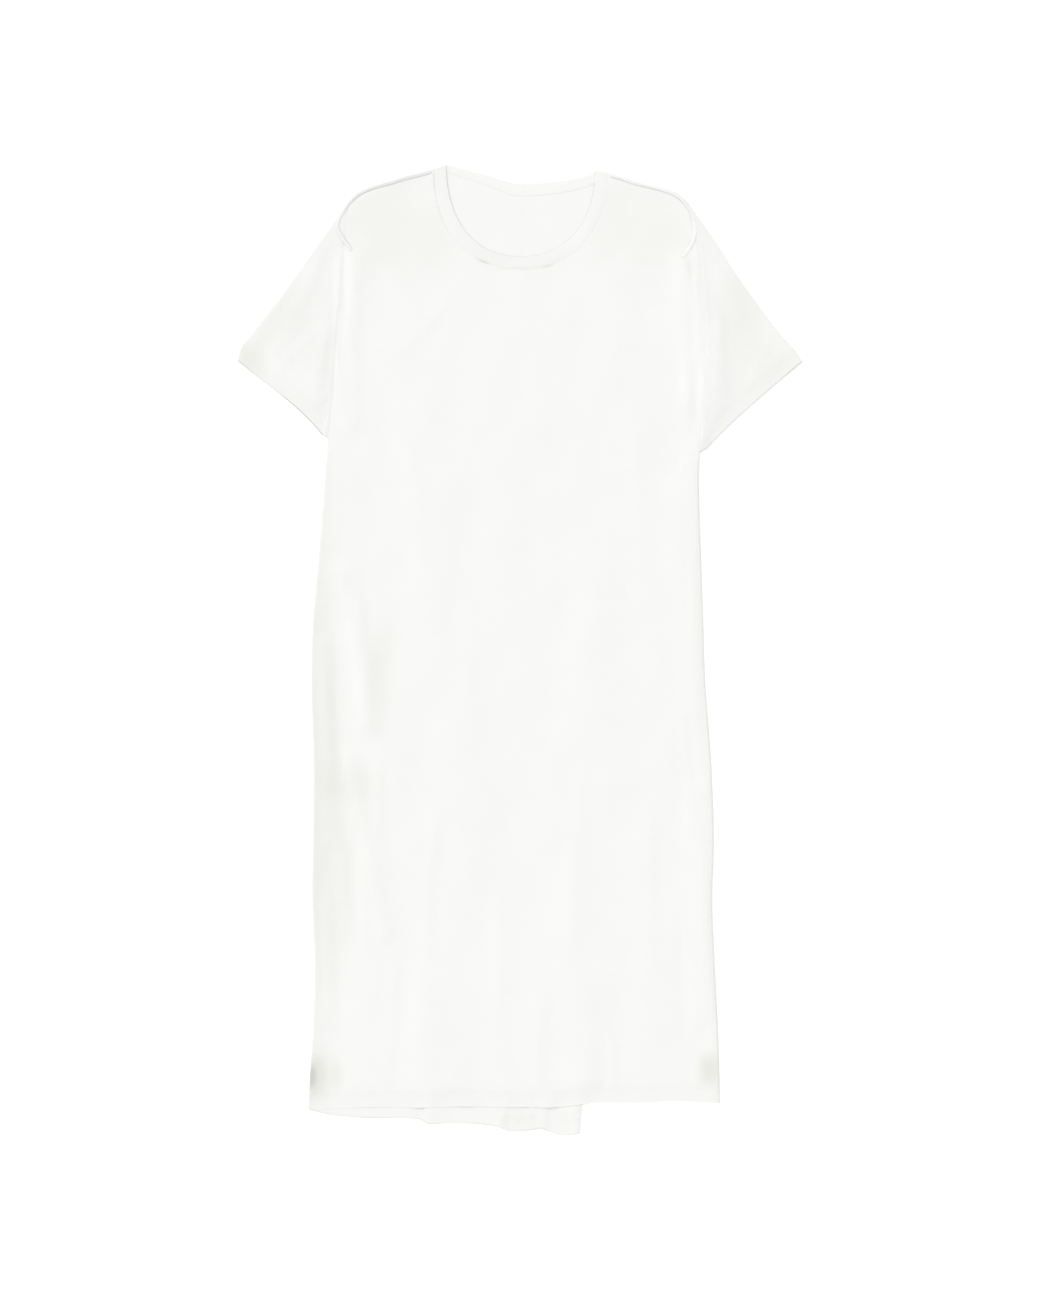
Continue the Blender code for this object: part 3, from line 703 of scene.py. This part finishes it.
# Front
# One panel of the same jersey, cut in one from hem to shoulders, with a round neck. It joins the
# backs at the shoulders and, rolled softly round, at the sides. The hem is turned up once.
EDGE_ROUND = 0.003
EDGE_LOW = 0.0004
ROLL_FADE = 0.031
FRONT_SHORTER = 0.05
FRONT_SEAM_DOWN = 0.133
FRONT_ROUNDNESS = (2.2, 2.2)
FRONT_HEM = measures(
    "across down",
    (-0.270, 1.2000), (-0.230, 1.1985), (-0.200, 1.1972), (-0.160, 1.1970),
    (-0.135, 1.1976), (-0.100, 1.1966), (-0.060, 1.1962), (-0.026, 1.1970),
    (0.010, 1.1968), (0.040, 1.1972), (0.066, 1.1950), (0.085, 1.1920),
    (0.125, 1.1912), (0.165, 1.1908), (0.190, 1.1893), (0.216, 1.1898),
    (0.254, 1.1920),
)
HEM_ROWS = (0.0165, 0.0200)
TWIN_DEPTH = 0.00012
TWIN_WIDTH = 0.0009

# Over its last stretch the hem lies down on the back, but for a few places where it stands off
HEM_SETTLE = 0.03
HEM_CLEAR = 0.0001
HEM_PLEAT_REACH = 0.015
HEM_LIFTS = measures(
    "across half_width height",
    (-0.070, 0.014, 0.0007),
    (0.040, 0.011, 0.0007),
    (-0.190, 0.020, 0.0003),
    (0.160, 0.030, 0.0002),
)

# Painted on the front: shade beside and over the left folds, a faint painted highlight on one fold's
# crest, painted highlights along the armhole seams with a thin painted shade beside the right one,
# and a darker band along the left side and across the yoke
FRONT_TINTS_AND_PAINTED_LIGHT = measures(
    TINT,
    (-0.250, 0.760, 0.020, 0.260, 0.00, -0.42),
    (-0.216, 0.787, 0.034, 0.024, 0.00, -0.24),
    (-0.178, 0.645, 0.015, 0.055, 0.08, -0.32),
    (-0.214, 0.610, 0.007, 0.070, 0.06, 0.05),
    (-0.222, 0.900, 0.014, 0.110, 0.10, -0.25),
    (-0.160, 0.085, 0.070, 0.052, 0.00, -0.24),
    (0.160, 0.082, 0.072, 0.054, 0.00, -0.15),
    (-0.2195, 0.150, 0.0030, 0.045, 0.02, 0.70),
    (0.2225, 0.160, 0.0030, 0.060, -0.03, 0.80),
    (0.2250, 0.255, 0.0055, 0.065, -0.03, 1.10),
    (0.2165, 0.170, 0.0012, 0.050, -0.03, -0.45),
)
NECK_TINTS = measures(
    TINT,
    (-0.0460, 0.1236, 0.0090, 0.0016, 0.38, -1.10),
    (0.0350, 0.1290, 0.0080, 0.0015, -0.24, -0.90),
    (-0.0050, 0.1325, 0.0300, 0.0016, 0.00, -0.30),
)
CORNER_TINTS = measures(
    TINT,
    (-0.2590, 1.157, 0.0150, 0.026, 0.00, -0.92),
    (-0.2650, 1.160, 0.0060, 0.018, 0.00, -0.35),
    (-0.2330, 1.156, 0.0080, 0.020, 0.00, -0.40),
    (0.2395, 1.149, 0.0120, 0.020, 0.00, -0.85),
)
# How much darker the rolled sides are painted over their last few millimetres: painted shade
# where they turn down, with the side seams' extra layers
SIDE_PAINTED_SHADE = {"left": 0.28, "right": 0.24}
SIDE_PAINTED_SHADE_WIDTH = 0.007


def armhole_path(side):
    return sleeve_armhole(side, np.linspace(0, 1, 30))


def shoulder_seam(side, shares):
    x = shoulder_x(side, shares)
    return pairs(x, shoulder_down(side, x) + SEAM_FORWARD)


def twin_needle(away, rows):
    """How far two rows of stitches draw the cloth down, away from a turned-in edge."""
    return sum(TWIN_DEPTH * bell(away - at, TWIN_WIDTH) for at in rows)


NECK_SEAM = neck_curve(SEAM_HALF, FRONT_SEAM_DOWN, FRONT_ROUNDNESS, np.linspace(0, 1, 60))
LEVELS = row_levels(LENGTH - FRONT_SHORTER, 27, 225, 12)[:, None]


def rolled_side(side, hem_down):
    """The panel's side edge: x, how far down, share of the full height, and way to the hem."""
    angle = np.linspace(0, math.pi / 2, 8)
    down = between(hem_down, ARMHOLE_TOP + SEAM_FORWARD, LEVELS)
    rolled = eased((down - ARMPIT_DOWN[side]) / ROLL_FADE)
    flat = SEAM_GAP / 2 + EDGE_ROUND * (angle > 0) * between(0.05, 1.0, angle / (math.pi / 2))
    x = side_x(side, down) - SIGN[side] * between(flat, EDGE_ROUND * (1 - np.cos(angle)), rolled)
    return np.broadcast_arrays(x, down, between(1.0, np.sin(angle), rolled), hem_down - down)


def make_front():
    shares = np.append(np.linspace(1, 0.03, 23)[1:], 0.0)
    turn = np.concatenate([[0.045, 0.062], np.linspace(0.08, 0.92, 62), [0.938, 0.955]])
    neck = neck_curve(SEAM_HALF, FRONT_SEAM_DOWN, FRONT_ROUNDNESS, turn)
    tops = np.concatenate([shoulder_seam("left", shares), neck, shoulder_seam("right", shares[::-1])])
    left_edge, right_edge = side_x("left", tops[:, 1]), side_x("right", tops[:, 1])
    share = (tops[:, 0] - left_edge) / (right_edge - left_edge)
    hem_x = between(-SECTIONS[-1].left, SECTIONS[-1].right, share)
    hem_down = through(FRONT_HEM, "across", "down", hem_x)
    down = between(hem_down, tops[:, 1], LEVELS)
    x = between(side_x("left", down), side_x("right", down), share)
    middle = (x, down, np.ones_like(x), hem_down - down)
    left, right = rolled_side("left", FRONT_HEM[0].down), rolled_side("right", FRONT_HEM[-1].down)
    x, down, height, hem_away = (
        np.concatenate([a, b, c[:, ::-1]], axis=1) for a, b, c in zip(left, middle, right))
    neck_away = away_from(NECK_SEAM, x, down)
    relief = seam_relief(neck_away)
    seam_tone = bell(neck_away, SEAM_SHADE_WIDTH)
    for side in SIGN:
        for path in (armhole_path(side), shoulder_seam(side, np.linspace(1, 0, 20))):
            away = away_from(path, x, down)
            relief = relief + seam_relief(away)
            seam_tone = np.maximum(seam_tone, bell(away, SEAM_WIDTH))
    rest = 2 * CLOTH + HEM_STEP + HEM_CLEAR + pleat_height(x, HEM_PLEAT_REACH) * pleat_share(down)
    for lift in HEM_LIFTS:
        rest = rest + lift.height * bell(x - lift.across, lift.half_width)
    free = upper_top(x, down) + relief + turned_in(hem_away, HEM_DEPTH)
    z = between(free, rest, eased((HEM_SETTLE - hem_away) / HEM_SETTLE))
    z = np.maximum(z - twin_needle(hem_away, HEM_ROWS), CLOTH + EDGE_LOW)
    z = between(EDGE_LOW, z, height)
    tone = tints(FRONT_TINTS_AND_PAINTED_LIGHT + NECK_TINTS + CORNER_TINTS, x, down)
    # Seams are darker joints; the rolled sides are painted darker as they turn down, as painted shade
    tone = tone - 0.12 * seam_tone - 0.5 * (1 - height)
    for side in SIGN:
        below_arm = eased((down - ARMPIT_DOWN[side]) / 0.04)
        shade = SIDE_PAINTED_SHADE[side] * bell(x - side_x(side, down), SIDE_PAINTED_SHADE_WIDTH)
        tone = tone - shade * below_arm
    return sheet_of_cloth("front_cloth", spots(x, down, z), pairs(x, y_at(down)), tone)


front = make_front()
front.data.materials.append(WHITE_JERSEY)
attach(front, "root")
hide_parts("front")

# Sleeves
# Short set-in sleeves of the same jersey, each one piece closed to a tube by a seam under the
# arm, pressed flat, with a soft fold along the top. The cuff is turned in once.
CUFF_DEPTH = 0.02
CUFF_ROWS = (0.0145, 0.0180)
CUFF_SETTLE = 0.028
CUFF_REST = {"left": 0.0026, "right": 0.002}
CUFF_EDGE = 0.001
ARMHOLE_FADE = 0.02
SLEEVE_GRAIN = 0.17
# How dark the cuff's edge is painted, from its outer corner to the underarm: a painted shadow
# along the edge, with the dense folded cloth
CUFF_PAINTED_SHADOWS = measures(
    "along left right",
    (0.00, 1.10, 1.20),
    (0.12, 1.10, 1.30),
    (0.26, 0.40, 0.70),
    (0.42, 0.60, 0.85),
    (0.56, 1.60, 0.55),
    (0.75, 1.80, 0.60),
    (1.00, 1.70, 0.55),
)
# Painted highlights along both armhole seams on the sleeve side, and darker and lighter patches over
# the sleeves, darkest at their tips
SLEEVE_TINTS_AND_PAINTED_HIGHLIGHTS = measures(
    TINT,
    (-0.340, 0.248, 0.026, 0.020, 0.6, -0.38),
    (-0.312, 0.208, 0.014, 0.050, 0.75, -0.20),
    (-0.2355, 0.153, 0.0022, 0.045, 0.02, 0.70),
    (-0.290, 0.190, 0.034, 0.044, 0.0, -0.10),
    (-0.300, 0.262, 0.026, 0.012, 0.6, 0.30),
    (-0.250, 0.245, 0.014, 0.030, 0.0, -0.10),
    (0.282, 0.180, 0.028, 0.050, 0.0, -0.22),
    (0.276, 0.240, 0.030, 0.064, 0.0, -0.10),
    (0.242, 0.255, 0.008, 0.060, 0.0, 0.45),
    (0.316, 0.246, 0.034, 0.028, 0.6, -0.14),
)


def make_sleeve(side):
    fold = np.radians(np.linspace(-90, 90, 11))
    rounding, rise = 1 - np.cos(fold), (1 + np.sin(fold)) / 2
    upper = np.linspace(0, 1, 68)[1:-1]
    lower = np.linspace(1, 0, 34)[1:-1]
    along = np.concatenate([
        np.linspace(0, 0.04, 5)[:-1], np.linspace(0.04, 0.8, 44)[:-1],
        np.linspace(0.8, 0.984, 15), [0.992, 1.0]])[:, None]
    width = sleeve_point(side, 0, along) - sleeve_point(side, 1, along)
    width = np.linalg.norm(width, axis=-1)
    rim = SHOULDER_ROUND / width
    flat = 1 - 2 * rim
    s = np.concatenate([rim * rounding, rim + upper * flat, 1 - rim * rounding, rim + lower * flat],
                       axis=1)
    lift = np.concatenate([rise, np.ones(len(upper)), rise[::-1], np.zeros(len(lower))])
    places = sleeve_point(side, s, along)
    x, down = places[..., 0], places[..., 1]
    armhole = away_from(armhole_path(side), x, down)
    cuff = away_from(sleeve_point(side, np.linspace(0, 1, 20), 1), x, down)
    free = upper_top(x, down) + seam_relief(armhole) + turned_in(cuff, CUFF_DEPTH)
    low = eased((CUFF_SETTLE - cuff) / CUFF_SETTLE) * eased(armhole / ARMHOLE_FADE)
    z = (between(free, CUFF_REST[side], low) - twin_needle(cuff, CUFF_ROWS)) * lift
    tone = tints(SLEEVE_TINTS_AND_PAINTED_HIGHLIGHTS, x, down) - 0.1 * bell(armhole, SEAM_WIDTH)
    # The turned-in cuff is a little denser; the top and under folds are painted darker as they turn
    # under, as painted shade, and the cuff's edge gets a painted shadow line
    tone = tone - 0.04 * (cuff < CUFF_DEPTH) - 1.6 * (1 - lift)
    tone = tone - through(CUFF_PAINTED_SHADOWS, "along", side, s) * bell(cuff, CUFF_EDGE)
    parts = spots(x, down, z), pairs(s * width, along * SLEEVE_GRAIN), tone
    if side == "left":
        parts = (part[:, ::-1] for part in parts)
    return sheet_of_cloth(f"sleeve_{side}_cloth", *parts, closed=True)


for side, cut, area in (("left", (0.31, 0.28), 0.038), ("right", (0.32, 0.28), 0.036)):
    tube = make_sleeve(side)
    tube.data.materials.append(WHITE_JERSEY)
    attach(tube, "root")
    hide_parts(f"sleeve_{side}")

# Neckband
# One strip of fine rib, folded double and sewn round the neck. Its front half lies on the dress,
# it turns over at each shoulder, and its back half lies on the table.
BAND = 0.0009
BAND_SINK = 0.00035
BAND_EDGE = CLOTH + BAND + 0.0001
BAND_INNER_ROUND = 0.001
BAND_TOP_DOWN = (0.0, 0.007)
EDGE_HALF = 0.0945
FRONT_EDGE_DOWN = 0.117
BACK_EDGE_DOWN = 0.0245
RIB = 0.0022
RIB_RELIEF = 0.0001
RIB_GRAIN = 0.002
BACK_BAND_TONE = 0.25
# How full the band is across, from its seam to its folded edge, on its outer and inner face
PLUMP = measures(
    "across height",
    (0.00, 0.20), (0.03, 0.46), (0.12, 0.78), (0.30, 1.00), (0.50, 1.00),
    (0.70, 0.94), (0.88, 0.74), (0.97, 0.42), (1.00, 0.00),
)
# Painted light on the band's left side, painted shade on its right side and at its lowest part
BAND_PAINTED_LIGHT_AND_SHADE = measures(
    TINT,
    (-0.098, 0.065, 0.022, 0.055, 0.00, 0.30),
    (0.000, 0.122, 0.075, 0.026, 0.00, -0.30),
    (0.098, 0.065, 0.020, 0.050, 0.00, -0.30),
)


def steps_along(line):
    """How far along a line each of its points is."""
    return np.concatenate([[0], np.cumsum(np.linalg.norm(np.diff(line, axis=0), axis=-1))])


def band_half(seam_down, edge_down, roundness, count):
    """Turns, seam and folded edge of half the band, in sections an even distance apart."""
    turn = np.linspace(0, 1, 400)
    seam = neck_curve(SEAM_HALF - SEAM_GAP, seam_down - SEAM_GAP, roundness, turn)
    edge = neck_curve(EDGE_HALF, edge_down, roundness, turn, BAND_TOP_DOWN)
    across = (1 - np.cos(np.pi * turn)) / 2
    ends = ((seam, SEAM_TOP_DOWN, BAND_ROUND), (edge, BAND_TOP_DOWN, BAND_INNER_ROUND))
    for line, tops, fold in ends:
        line[:, 1] = np.maximum(line[:, 1], between(*tops, across) + fold)
    steps = steps_along((seam + edge) / 2)
    at = np.linspace(0, steps[-1], count)
    columns = [np.interp(at, steps, column) for column in (turn, *seam.T, *edge.T)]
    return columns[0], pairs(*columns[1:3]), pairs(*columns[3:])


def band_sections():
    """Seam point, folded edge, their heights and the outward direction, round the whole neck."""
    turn, seam, edge = band_half(FRONT_SEAM_DOWN, FRONT_EDGE_DOWN, FRONT_ROUNDNESS, 640)
    across = np.abs(np.cos(np.pi * turn))
    seam_z = between(upper_top(*seam.T) + BAND_SINK, 2 * BAND_ROUND, across**8)
    edge_z = between(BAND_EDGE, 2 * BAND_INNER_ROUND, across**12)
    upwards = np.tile([0.0, 0.0, 1.0], (len(turn), 1))
    _, back_seam, back_edge = band_half(BACK_SEAM_DOWN, BACK_EDGE_DOWN, BACK_ROUNDNESS, 460)
    flat = np.zeros(len(back_seam))
    angle = np.radians(np.linspace(90, -90, 12)[1:-1])
    over = np.stack([0 * angle, np.cos(angle), np.sin(angle)], axis=-1)

    def fold(end, outward):
        """The band's turn over a shoulder, between the front half and the back half."""
        ends = ((seam[end], BAND_ROUND), (edge[end], BAND_INNER_ROUND))
        return (*(corner - radius * outward[:, :2] for corner, radius in ends),
                *(radius * (1 + outward[:, 2]) for corner, radius in ends), outward)

    stretches = (
        (seam, edge, seam_z, edge_z, upwards),
        fold(-1, over),
        (back_seam[::-1], back_edge[::-1], flat, flat, -upwards[: len(flat)]),
        fold(0, over[::-1]),
    )
    return [np.concatenate(parts) for parts in zip(*stretches)]


def make_band():
    seam, edge, seam_z, edge_z, outward = band_sections()
    middle = np.column_stack([(seam + edge) / 2, seam_z])
    along = steps_along(middle)
    whole = along[-1] + np.linalg.norm(middle[0] - middle[-1])
    ribs = np.cos(2 * np.pi * round(whole / RIB) * along / whole)
    ring = []
    for face, shape in ((1, PLUMP), (-1, PLUMP[-2::-1])):
        for row in shape:
            place = spots(*between(seam, edge, row.across).T, between(seam_z, edge_z, row.across))
            full = face * row.height
            depth = BAND / 2 * (1 - full) + RIB_RELIEF * (1 - full * ribs)
            ring.append(place - outward * depth[:, None])
    points = np.stack(ring, axis=1)
    x, down = points[..., 0], y_at(points[..., 1])
    index = np.pad(np.arange(x.size).reshape(x.shape), ((0, 1), (0, 1)), "wrap")
    faces = grid_faces(index)[:, [0, 3, 2, 1]]
    front_tone = tints(NECK_TINTS + BAND_PAINTED_LIGHT_AND_SHADE, x, down)
    tone = np.where(outward[:, 2:] < 0, BACK_BAND_TONE, front_tone)
    grain = pairs(along[:, None], np.arange(len(ring)) * RIB_GRAIN)
    return cloth_mesh("neckband_rib", points, faces, grain, tone)


WHITE_RIB = jersey(
    "White_rib", single=(0.935, 0.935, 0.925), double=(0.886, 0.886, 0.872),
    deep=(0.8, 0.802, 0.78), edge=DENSE_EDGE_AND_SHADOW, wale=RIB, course=0.0008, relief=0.25)
band = make_band()
band.data.materials.append(WHITE_RIB)
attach(band, "root")
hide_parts("neckband")

# Shoulder tapes
# Clear elastic tape along each shoulder, sewn in from the neckband to the sleeve head, where its
# end curls back. It is glossy and looks grey where it shows, with painted shade along its edges
# and a painted highlight on its curled end.
TAPE = 0.0004
TAPE_INWARD = 0.0016
TAPE_OUTWARD = 0.0026
TAPE_CROWN = 0.0003
# How light each tape is painted in its middle, how dark its painted shade lines are along its
# edges, and how much its end is lightened as a painted highlight
TapeLook = namedtuple("TapeLook", "fill inner_line outer_line end")
TAPE_LOOKS = {
    "left": TapeLook(0.55, 0.42, 0.3, 0.25),
    "right": TapeLook(0.85, 0.7, 0.15, 0.15),
}
TAPES = {
    "left": measures(
        "across down",
        (-0.1124, 0.0108), (-0.1314, 0.0156), (-0.1467, 0.0191), (-0.1619, 0.0241),
        (-0.1772, 0.0283), (-0.1924, 0.0330), (-0.2076, 0.0415), (-0.2165, 0.0508),
        (-0.2242, 0.0616), (-0.2292, 0.0705), (-0.2311, 0.0787), (-0.2292, 0.0864),
        (-0.2242, 0.0946), (-0.2184, 0.1022), (-0.2140, 0.1086),
    ),
    "right": measures(
        "across down",
        (0.1149, 0.0155), (0.1270, 0.0183), (0.1391, 0.0229), (0.1530, 0.0264),
        (0.1704, 0.0307), (0.1826, 0.0342), (0.1930, 0.0380), (0.2019, 0.0434),
        (0.2096, 0.0514), (0.2159, 0.0610), (0.2195, 0.0718), (0.2211, 0.0820),
        (0.2206, 0.0908), (0.2182, 0.0991), (0.2140, 0.1063), (0.2097, 0.1126),
        (0.2052, 0.1176),
    ),
}


def clear_tape():
    """Clear elastic: grey and glossy, with painted shade along its two edges and a painted
    highlight towards its curled end.
    """
    material, tree, shader = new_material("Clear_tape")
    tone = add_node(tree, "ShaderNodeAttribute", attribute_name="tone")
    grey = colour_ramp(tree, tone.outputs["Fac"], (0.6, 0.6, 0.61), (0.93, 0.93, 0.92))
    fill(shader, {"Base Color": grey, "Roughness": 0.22, "Specular IOR Level": 0.6})
    return material


CLEAR_TAPE = clear_tape()


def make_tape(side):
    marks, sign, look = np.array(TAPES[side]), SIGN[side], TAPE_LOOKS[side]
    steps = steps_along(marks)
    rows = measures("at across down", *np.column_stack([steps, marks]))
    at = np.linspace(0, steps[-1], 120)
    line = pairs(through(rows, "at", "across", at), through(rows, "at", "down", at))
    run = np.gradient(line, axis=0)
    run /= np.linalg.norm(run, axis=-1, keepdims=True)
    outward = np.linspace(-TAPE_INWARD, TAPE_OUTWARD, 13)[::-sign]
    x = line[:, :1] + sign * outward * run[:, 1:]
    down = line[:, 1:] - sign * outward * run[:, :1]
    middle = upper_top(*line.T)[:, None]
    share = (outward + TAPE_INWARD) / (TAPE_INWARD + TAPE_OUTWARD)
    z = np.maximum(between(upper_top(x, down), middle, 0.6), EDGE_TOP - 0.0002) + TAPE + 0.0001
    z = z + TAPE_CROWN * (1 - (2 * share - 1) ** 2)
    # Painted shade along both edges, and a painted highlight that lightens the curled end
    end = eased((at / steps[-1] - 0.62) / 0.14)[:, None]
    uneven = 0.8 + 0.2 * np.sin(at / 0.009 + 1.0)[:, None] * np.sin(at / 0.023)[:, None]
    lines = look.inner_line * bell(share - 0.1, 0.16) + look.outer_line * bell(share - 0.92, 0.12)
    tone = look.fill + look.end * end - lines * uneven * (1 - 0.6 * end)
    name = f"shoulder_tape_{side}_clear"
    return sheet_of_cloth(name, spots(x, down, z), pairs(x, down), tone, wall=TAPE)


for side in SIGN:
    tape = make_tape(side)
    tape.data.materials.append(CLEAR_TAPE)
    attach(tape, "root")
    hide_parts(f"shoulder_tape_{side}")

# Stitches
# White polyester thread. A twin needle sews down the turned-up hems and cuffs, one row holds the
# neckband's seam allowance flat, and one runs along each shoulder tape.
STITCH = 0.0021
STITCH_PITCH = 0.0029
THREAD = 0.00026
BESIDE_BAND = 0.0018
FROM_SIDE = 0.006


def cloth_height(*pieces):
    """A function that gives the height of the topmost cloth at a place."""
    corners, faces = [], []
    for piece in pieces:
        start = len(corners)
        corners += [vertex.co.copy() for vertex in piece.data.vertices]
        faces += [[start + corner for corner in face.vertices] for face in piece.data.polygons]
    surface = BVHTree.FromPolygons(corners, faces)

    def height(x, down):
        hit = surface.ray_cast((x, y_at(down), 0.05), (0.0, 0.0, -1.0))[0]
        return hit.z if hit else 0.0
    return height


def stitch_tree():
    """Small rounded stitches, spaced evenly along every line of a mesh."""
    tree = bpy.data.node_groups.new("Stitches_along_lines", "GeometryNodeTree")
    for name, kind in (("Lines", "Geometry"), ("Pitch", "Float"), ("Length", "Float"),
                       ("Thread", "Float"), ("Material", "Material")):
        tree.interface.new_socket(name, in_out="INPUT", socket_type=f"NodeSocket{kind}")
    tree.interface.new_socket("Stitches", in_out="OUTPUT", socket_type="NodeSocketGeometry")
    given = add_node(tree, "NodeGroupInput").outputs
    curve = add_node(tree, "GeometryNodeMeshToCurve", {"Mesh": given["Lines"]})
    even = add_node(tree, "GeometryNodeResampleCurve", {
        "Curve": curve.outputs["Curve"], "Length": given["Pitch"]}, mode="LENGTH")
    bead = add_node(tree, "GeometryNodeMeshUVSphere", {"Segments": 6, "Rings": 4, "Radius": 0.5})
    size = add_node(tree, "ShaderNodeCombineXYZ", {
        "X": given["Length"], "Y": given["Thread"], "Z": given["Thread"]})
    tangent = add_node(tree, "GeometryNodeInputTangent")
    turned = add_node(tree, "FunctionNodeAlignRotationToVector", {
        "Vector": tangent.outputs["Tangent"]}, axis="X")
    placed = add_node(tree, "GeometryNodeInstanceOnPoints", {
        "Points": even.outputs["Curve"], "Instance": bead.outputs["Mesh"],
        "Rotation": turned.outputs["Rotation"], "Scale": size.outputs["Vector"]})
    real = add_node(tree, "GeometryNodeRealizeInstances", {"Geometry": placed.outputs["Instances"]})
    finish = add_node(tree, "GeometryNodeSetMaterial", {
        "Geometry": real.outputs["Geometry"], "Material": given["Material"]})
    add_node(tree, "NodeGroupOutput", {"Stitches": finish.outputs["Geometry"]})
    return tree


def white_thread():
    """Polyester thread: a little glossier than the cloth, with the twist of its plies."""
    material, tree, shader = new_material("White_thread")
    place = add_node(tree, "ShaderNodeTexCoord")
    plies = add_node(tree, "ShaderNodeTexWave", {
        "Vector": place.outputs["Object"], "Scale": 900.0}, bands_direction="DIAGONAL")
    white = colour_ramp(tree, plies.outputs["Fac"], (0.9, 0.9, 0.885), (0.96, 0.96, 0.95))
    fill(shader, {"Base Color": white, "Roughness": 0.55, "Sheen Weight": 0.2})
    return material


WHITE_THREAD = white_thread()
STITCH_TREE = stitch_tree()


def sew(name, rows, height):
    """Rows of stitches, each along points given as x and how far down, laid on the cloth."""
    corners, edges = [], []
    for row in rows:
        start = len(corners)
        corners += [(x, y_at(down), height(x, down) + THREAD / 4)
                    for x, down in np.transpose(row).tolist()]
        edges += [(i, i + 1) for i in range(start, len(corners) - 1)]
    data = bpy.data.meshes.new(name)
    data.from_pydata(corners, edges, [])
    piece = put_in_scene(name, data)
    nodes = piece.modifiers.new("Stitches", "NODES")
    nodes.node_group = STITCH_TREE
    values = {"Pitch": STITCH_PITCH, "Length": STITCH, "Thread": THREAD, "Material": WHITE_THREAD}
    for item in STITCH_TREE.interface.items_tree:
        if item.in_out == "INPUT" and item.name in values:
            nodes[item.identifier] = values[item.name]
    apply_modifiers(piece, keep_layers=False).shade_smooth()
    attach(piece, "root")


on_front = cloth_height(front)
left_end, right_end = (side_x(side, HEM_CORNER) - SIGN[side] * FROM_SIDE for side in SIGN)
across = np.linspace(left_end, right_end, 140)
hem_down = through(FRONT_HEM, "across", "down", across)
sew("hem_stitches_front", [(across, hem_down - at) for at in HEM_ROWS], on_front)

BACK_STRETCHES = ((-0.262, -0.131), (-0.106, -0.015), (-0.011, 0.073), (0.084, 0.247))
back_hem = sorted(BACK_HEM["left"] + BACK_HEM["right"][:-1])
on_back = cloth_height(bpy.data.objects["back_left_cloth"], bpy.data.objects["back_right_cloth"])
rows = []
for first, last in BACK_STRETCHES:
    across = np.linspace(first, last, 50)
    hem_down = np.interp(across, *zip(*back_hem))
    rows += [(across, hem_down - at) for at in HEM_ROWS]
sew("hem_stitches_back", rows, on_back)

for side in SIGN:
    on_sleeve = cloth_height(bpy.data.objects[f"sleeve_{side}_cloth"])
    cuff_line = sleeve_point(side, np.linspace(0, 1, 40), 1)
    along = np.linspace(1.0, 0.6, 50)
    rows = []
    for at in CUFF_ROWS:
        row = []
        for s in np.linspace(0.08, 0.92, 40):
            away = away_from(cuff_line, *sleeve_point(side, s, along).T)
            row.append(sleeve_point(side, s, np.interp(at, away, along)))
        rows.append(np.transpose(row))
    sew(f"cuff_stitches_{side}", rows, on_sleeve)

turn = np.linspace(0.06, 0.94, 160)
neck_row = neck_curve(SEAM_HALF + BESIDE_BAND, FRONT_SEAM_DOWN + BESIDE_BAND, FRONT_ROUNDNESS, turn)
sew("neck_stitches", [neck_row.T], on_front)

for side in SIGN:
    marks = np.array(TAPES[side])
    on_tape = cloth_height(bpy.data.objects[f"shoulder_tape_{side}_clear"])
    at = np.linspace(0.3, len(marks) - 1.3, 90)
    row = [np.interp(at, range(len(marks)), column) for column in marks.T]
    sew(f"tape_stitches_{side}", [row], on_tape)

# Table, light and camera
# The dress lies on a plain white table, under soft even light with a broad lamp to the upper
# left, and is seen straight from above.
TABLE_DROP = 0.0003
TABLE_HALF = 6.0
VIEW_HEIGHT = 1.651
LENS = 85.0
SENSOR = 36.0

corners = [(x * TABLE_HALF, y * TABLE_HALF, -TABLE_DROP)
           for x, y in ((-1, -1), (1, -1), (1, 1), (-1, 1))]
table_top = bpy.data.meshes.new("table")
table_top.from_pydata(corners, [], [(0, 1, 2, 3)])
table = put_in_scene("table", table_top)
table_white, tree, shader = new_material("Table_white")
fill(shader, {
    "Base Color": (0.96, 0.96, 0.96, 1), "Roughness": 1.0, "Specular IOR Level": 0.0,
    "Emission Color": (1, 1, 1, 1), "Emission Strength": 0.2})
table.data.materials.append(table_white)

scene = bpy.context.scene
scene.view_settings.view_transform = "Standard"
world = bpy.data.worlds.new("Studio")
world.use_nodes = True
fill(world.node_tree.nodes["Background"], {"Color": (1, 1, 1, 1), "Strength": 0.845})
scene.world = world
lamp_data = bpy.data.lights.new("Lamp", "SUN")
lamp_data.energy = 0.95
lamp_data.angle = math.radians(60)
lamp = put_in_scene("Lamp", lamp_data)
lamp.rotation_euler = (math.radians(-28), math.radians(-38), 0.0)

camera_data = bpy.data.cameras.new("Camera")
camera_data.lens = LENS
camera_data.sensor_fit = "VERTICAL"
camera_data.sensor_height = SENSOR
camera_data.clip_end = 50.0
camera = put_in_scene("Camera", camera_data)
camera.location = (0.0, 0.0, VIEW_HEIGHT * LENS / SENSOR)
scene.camera = camera
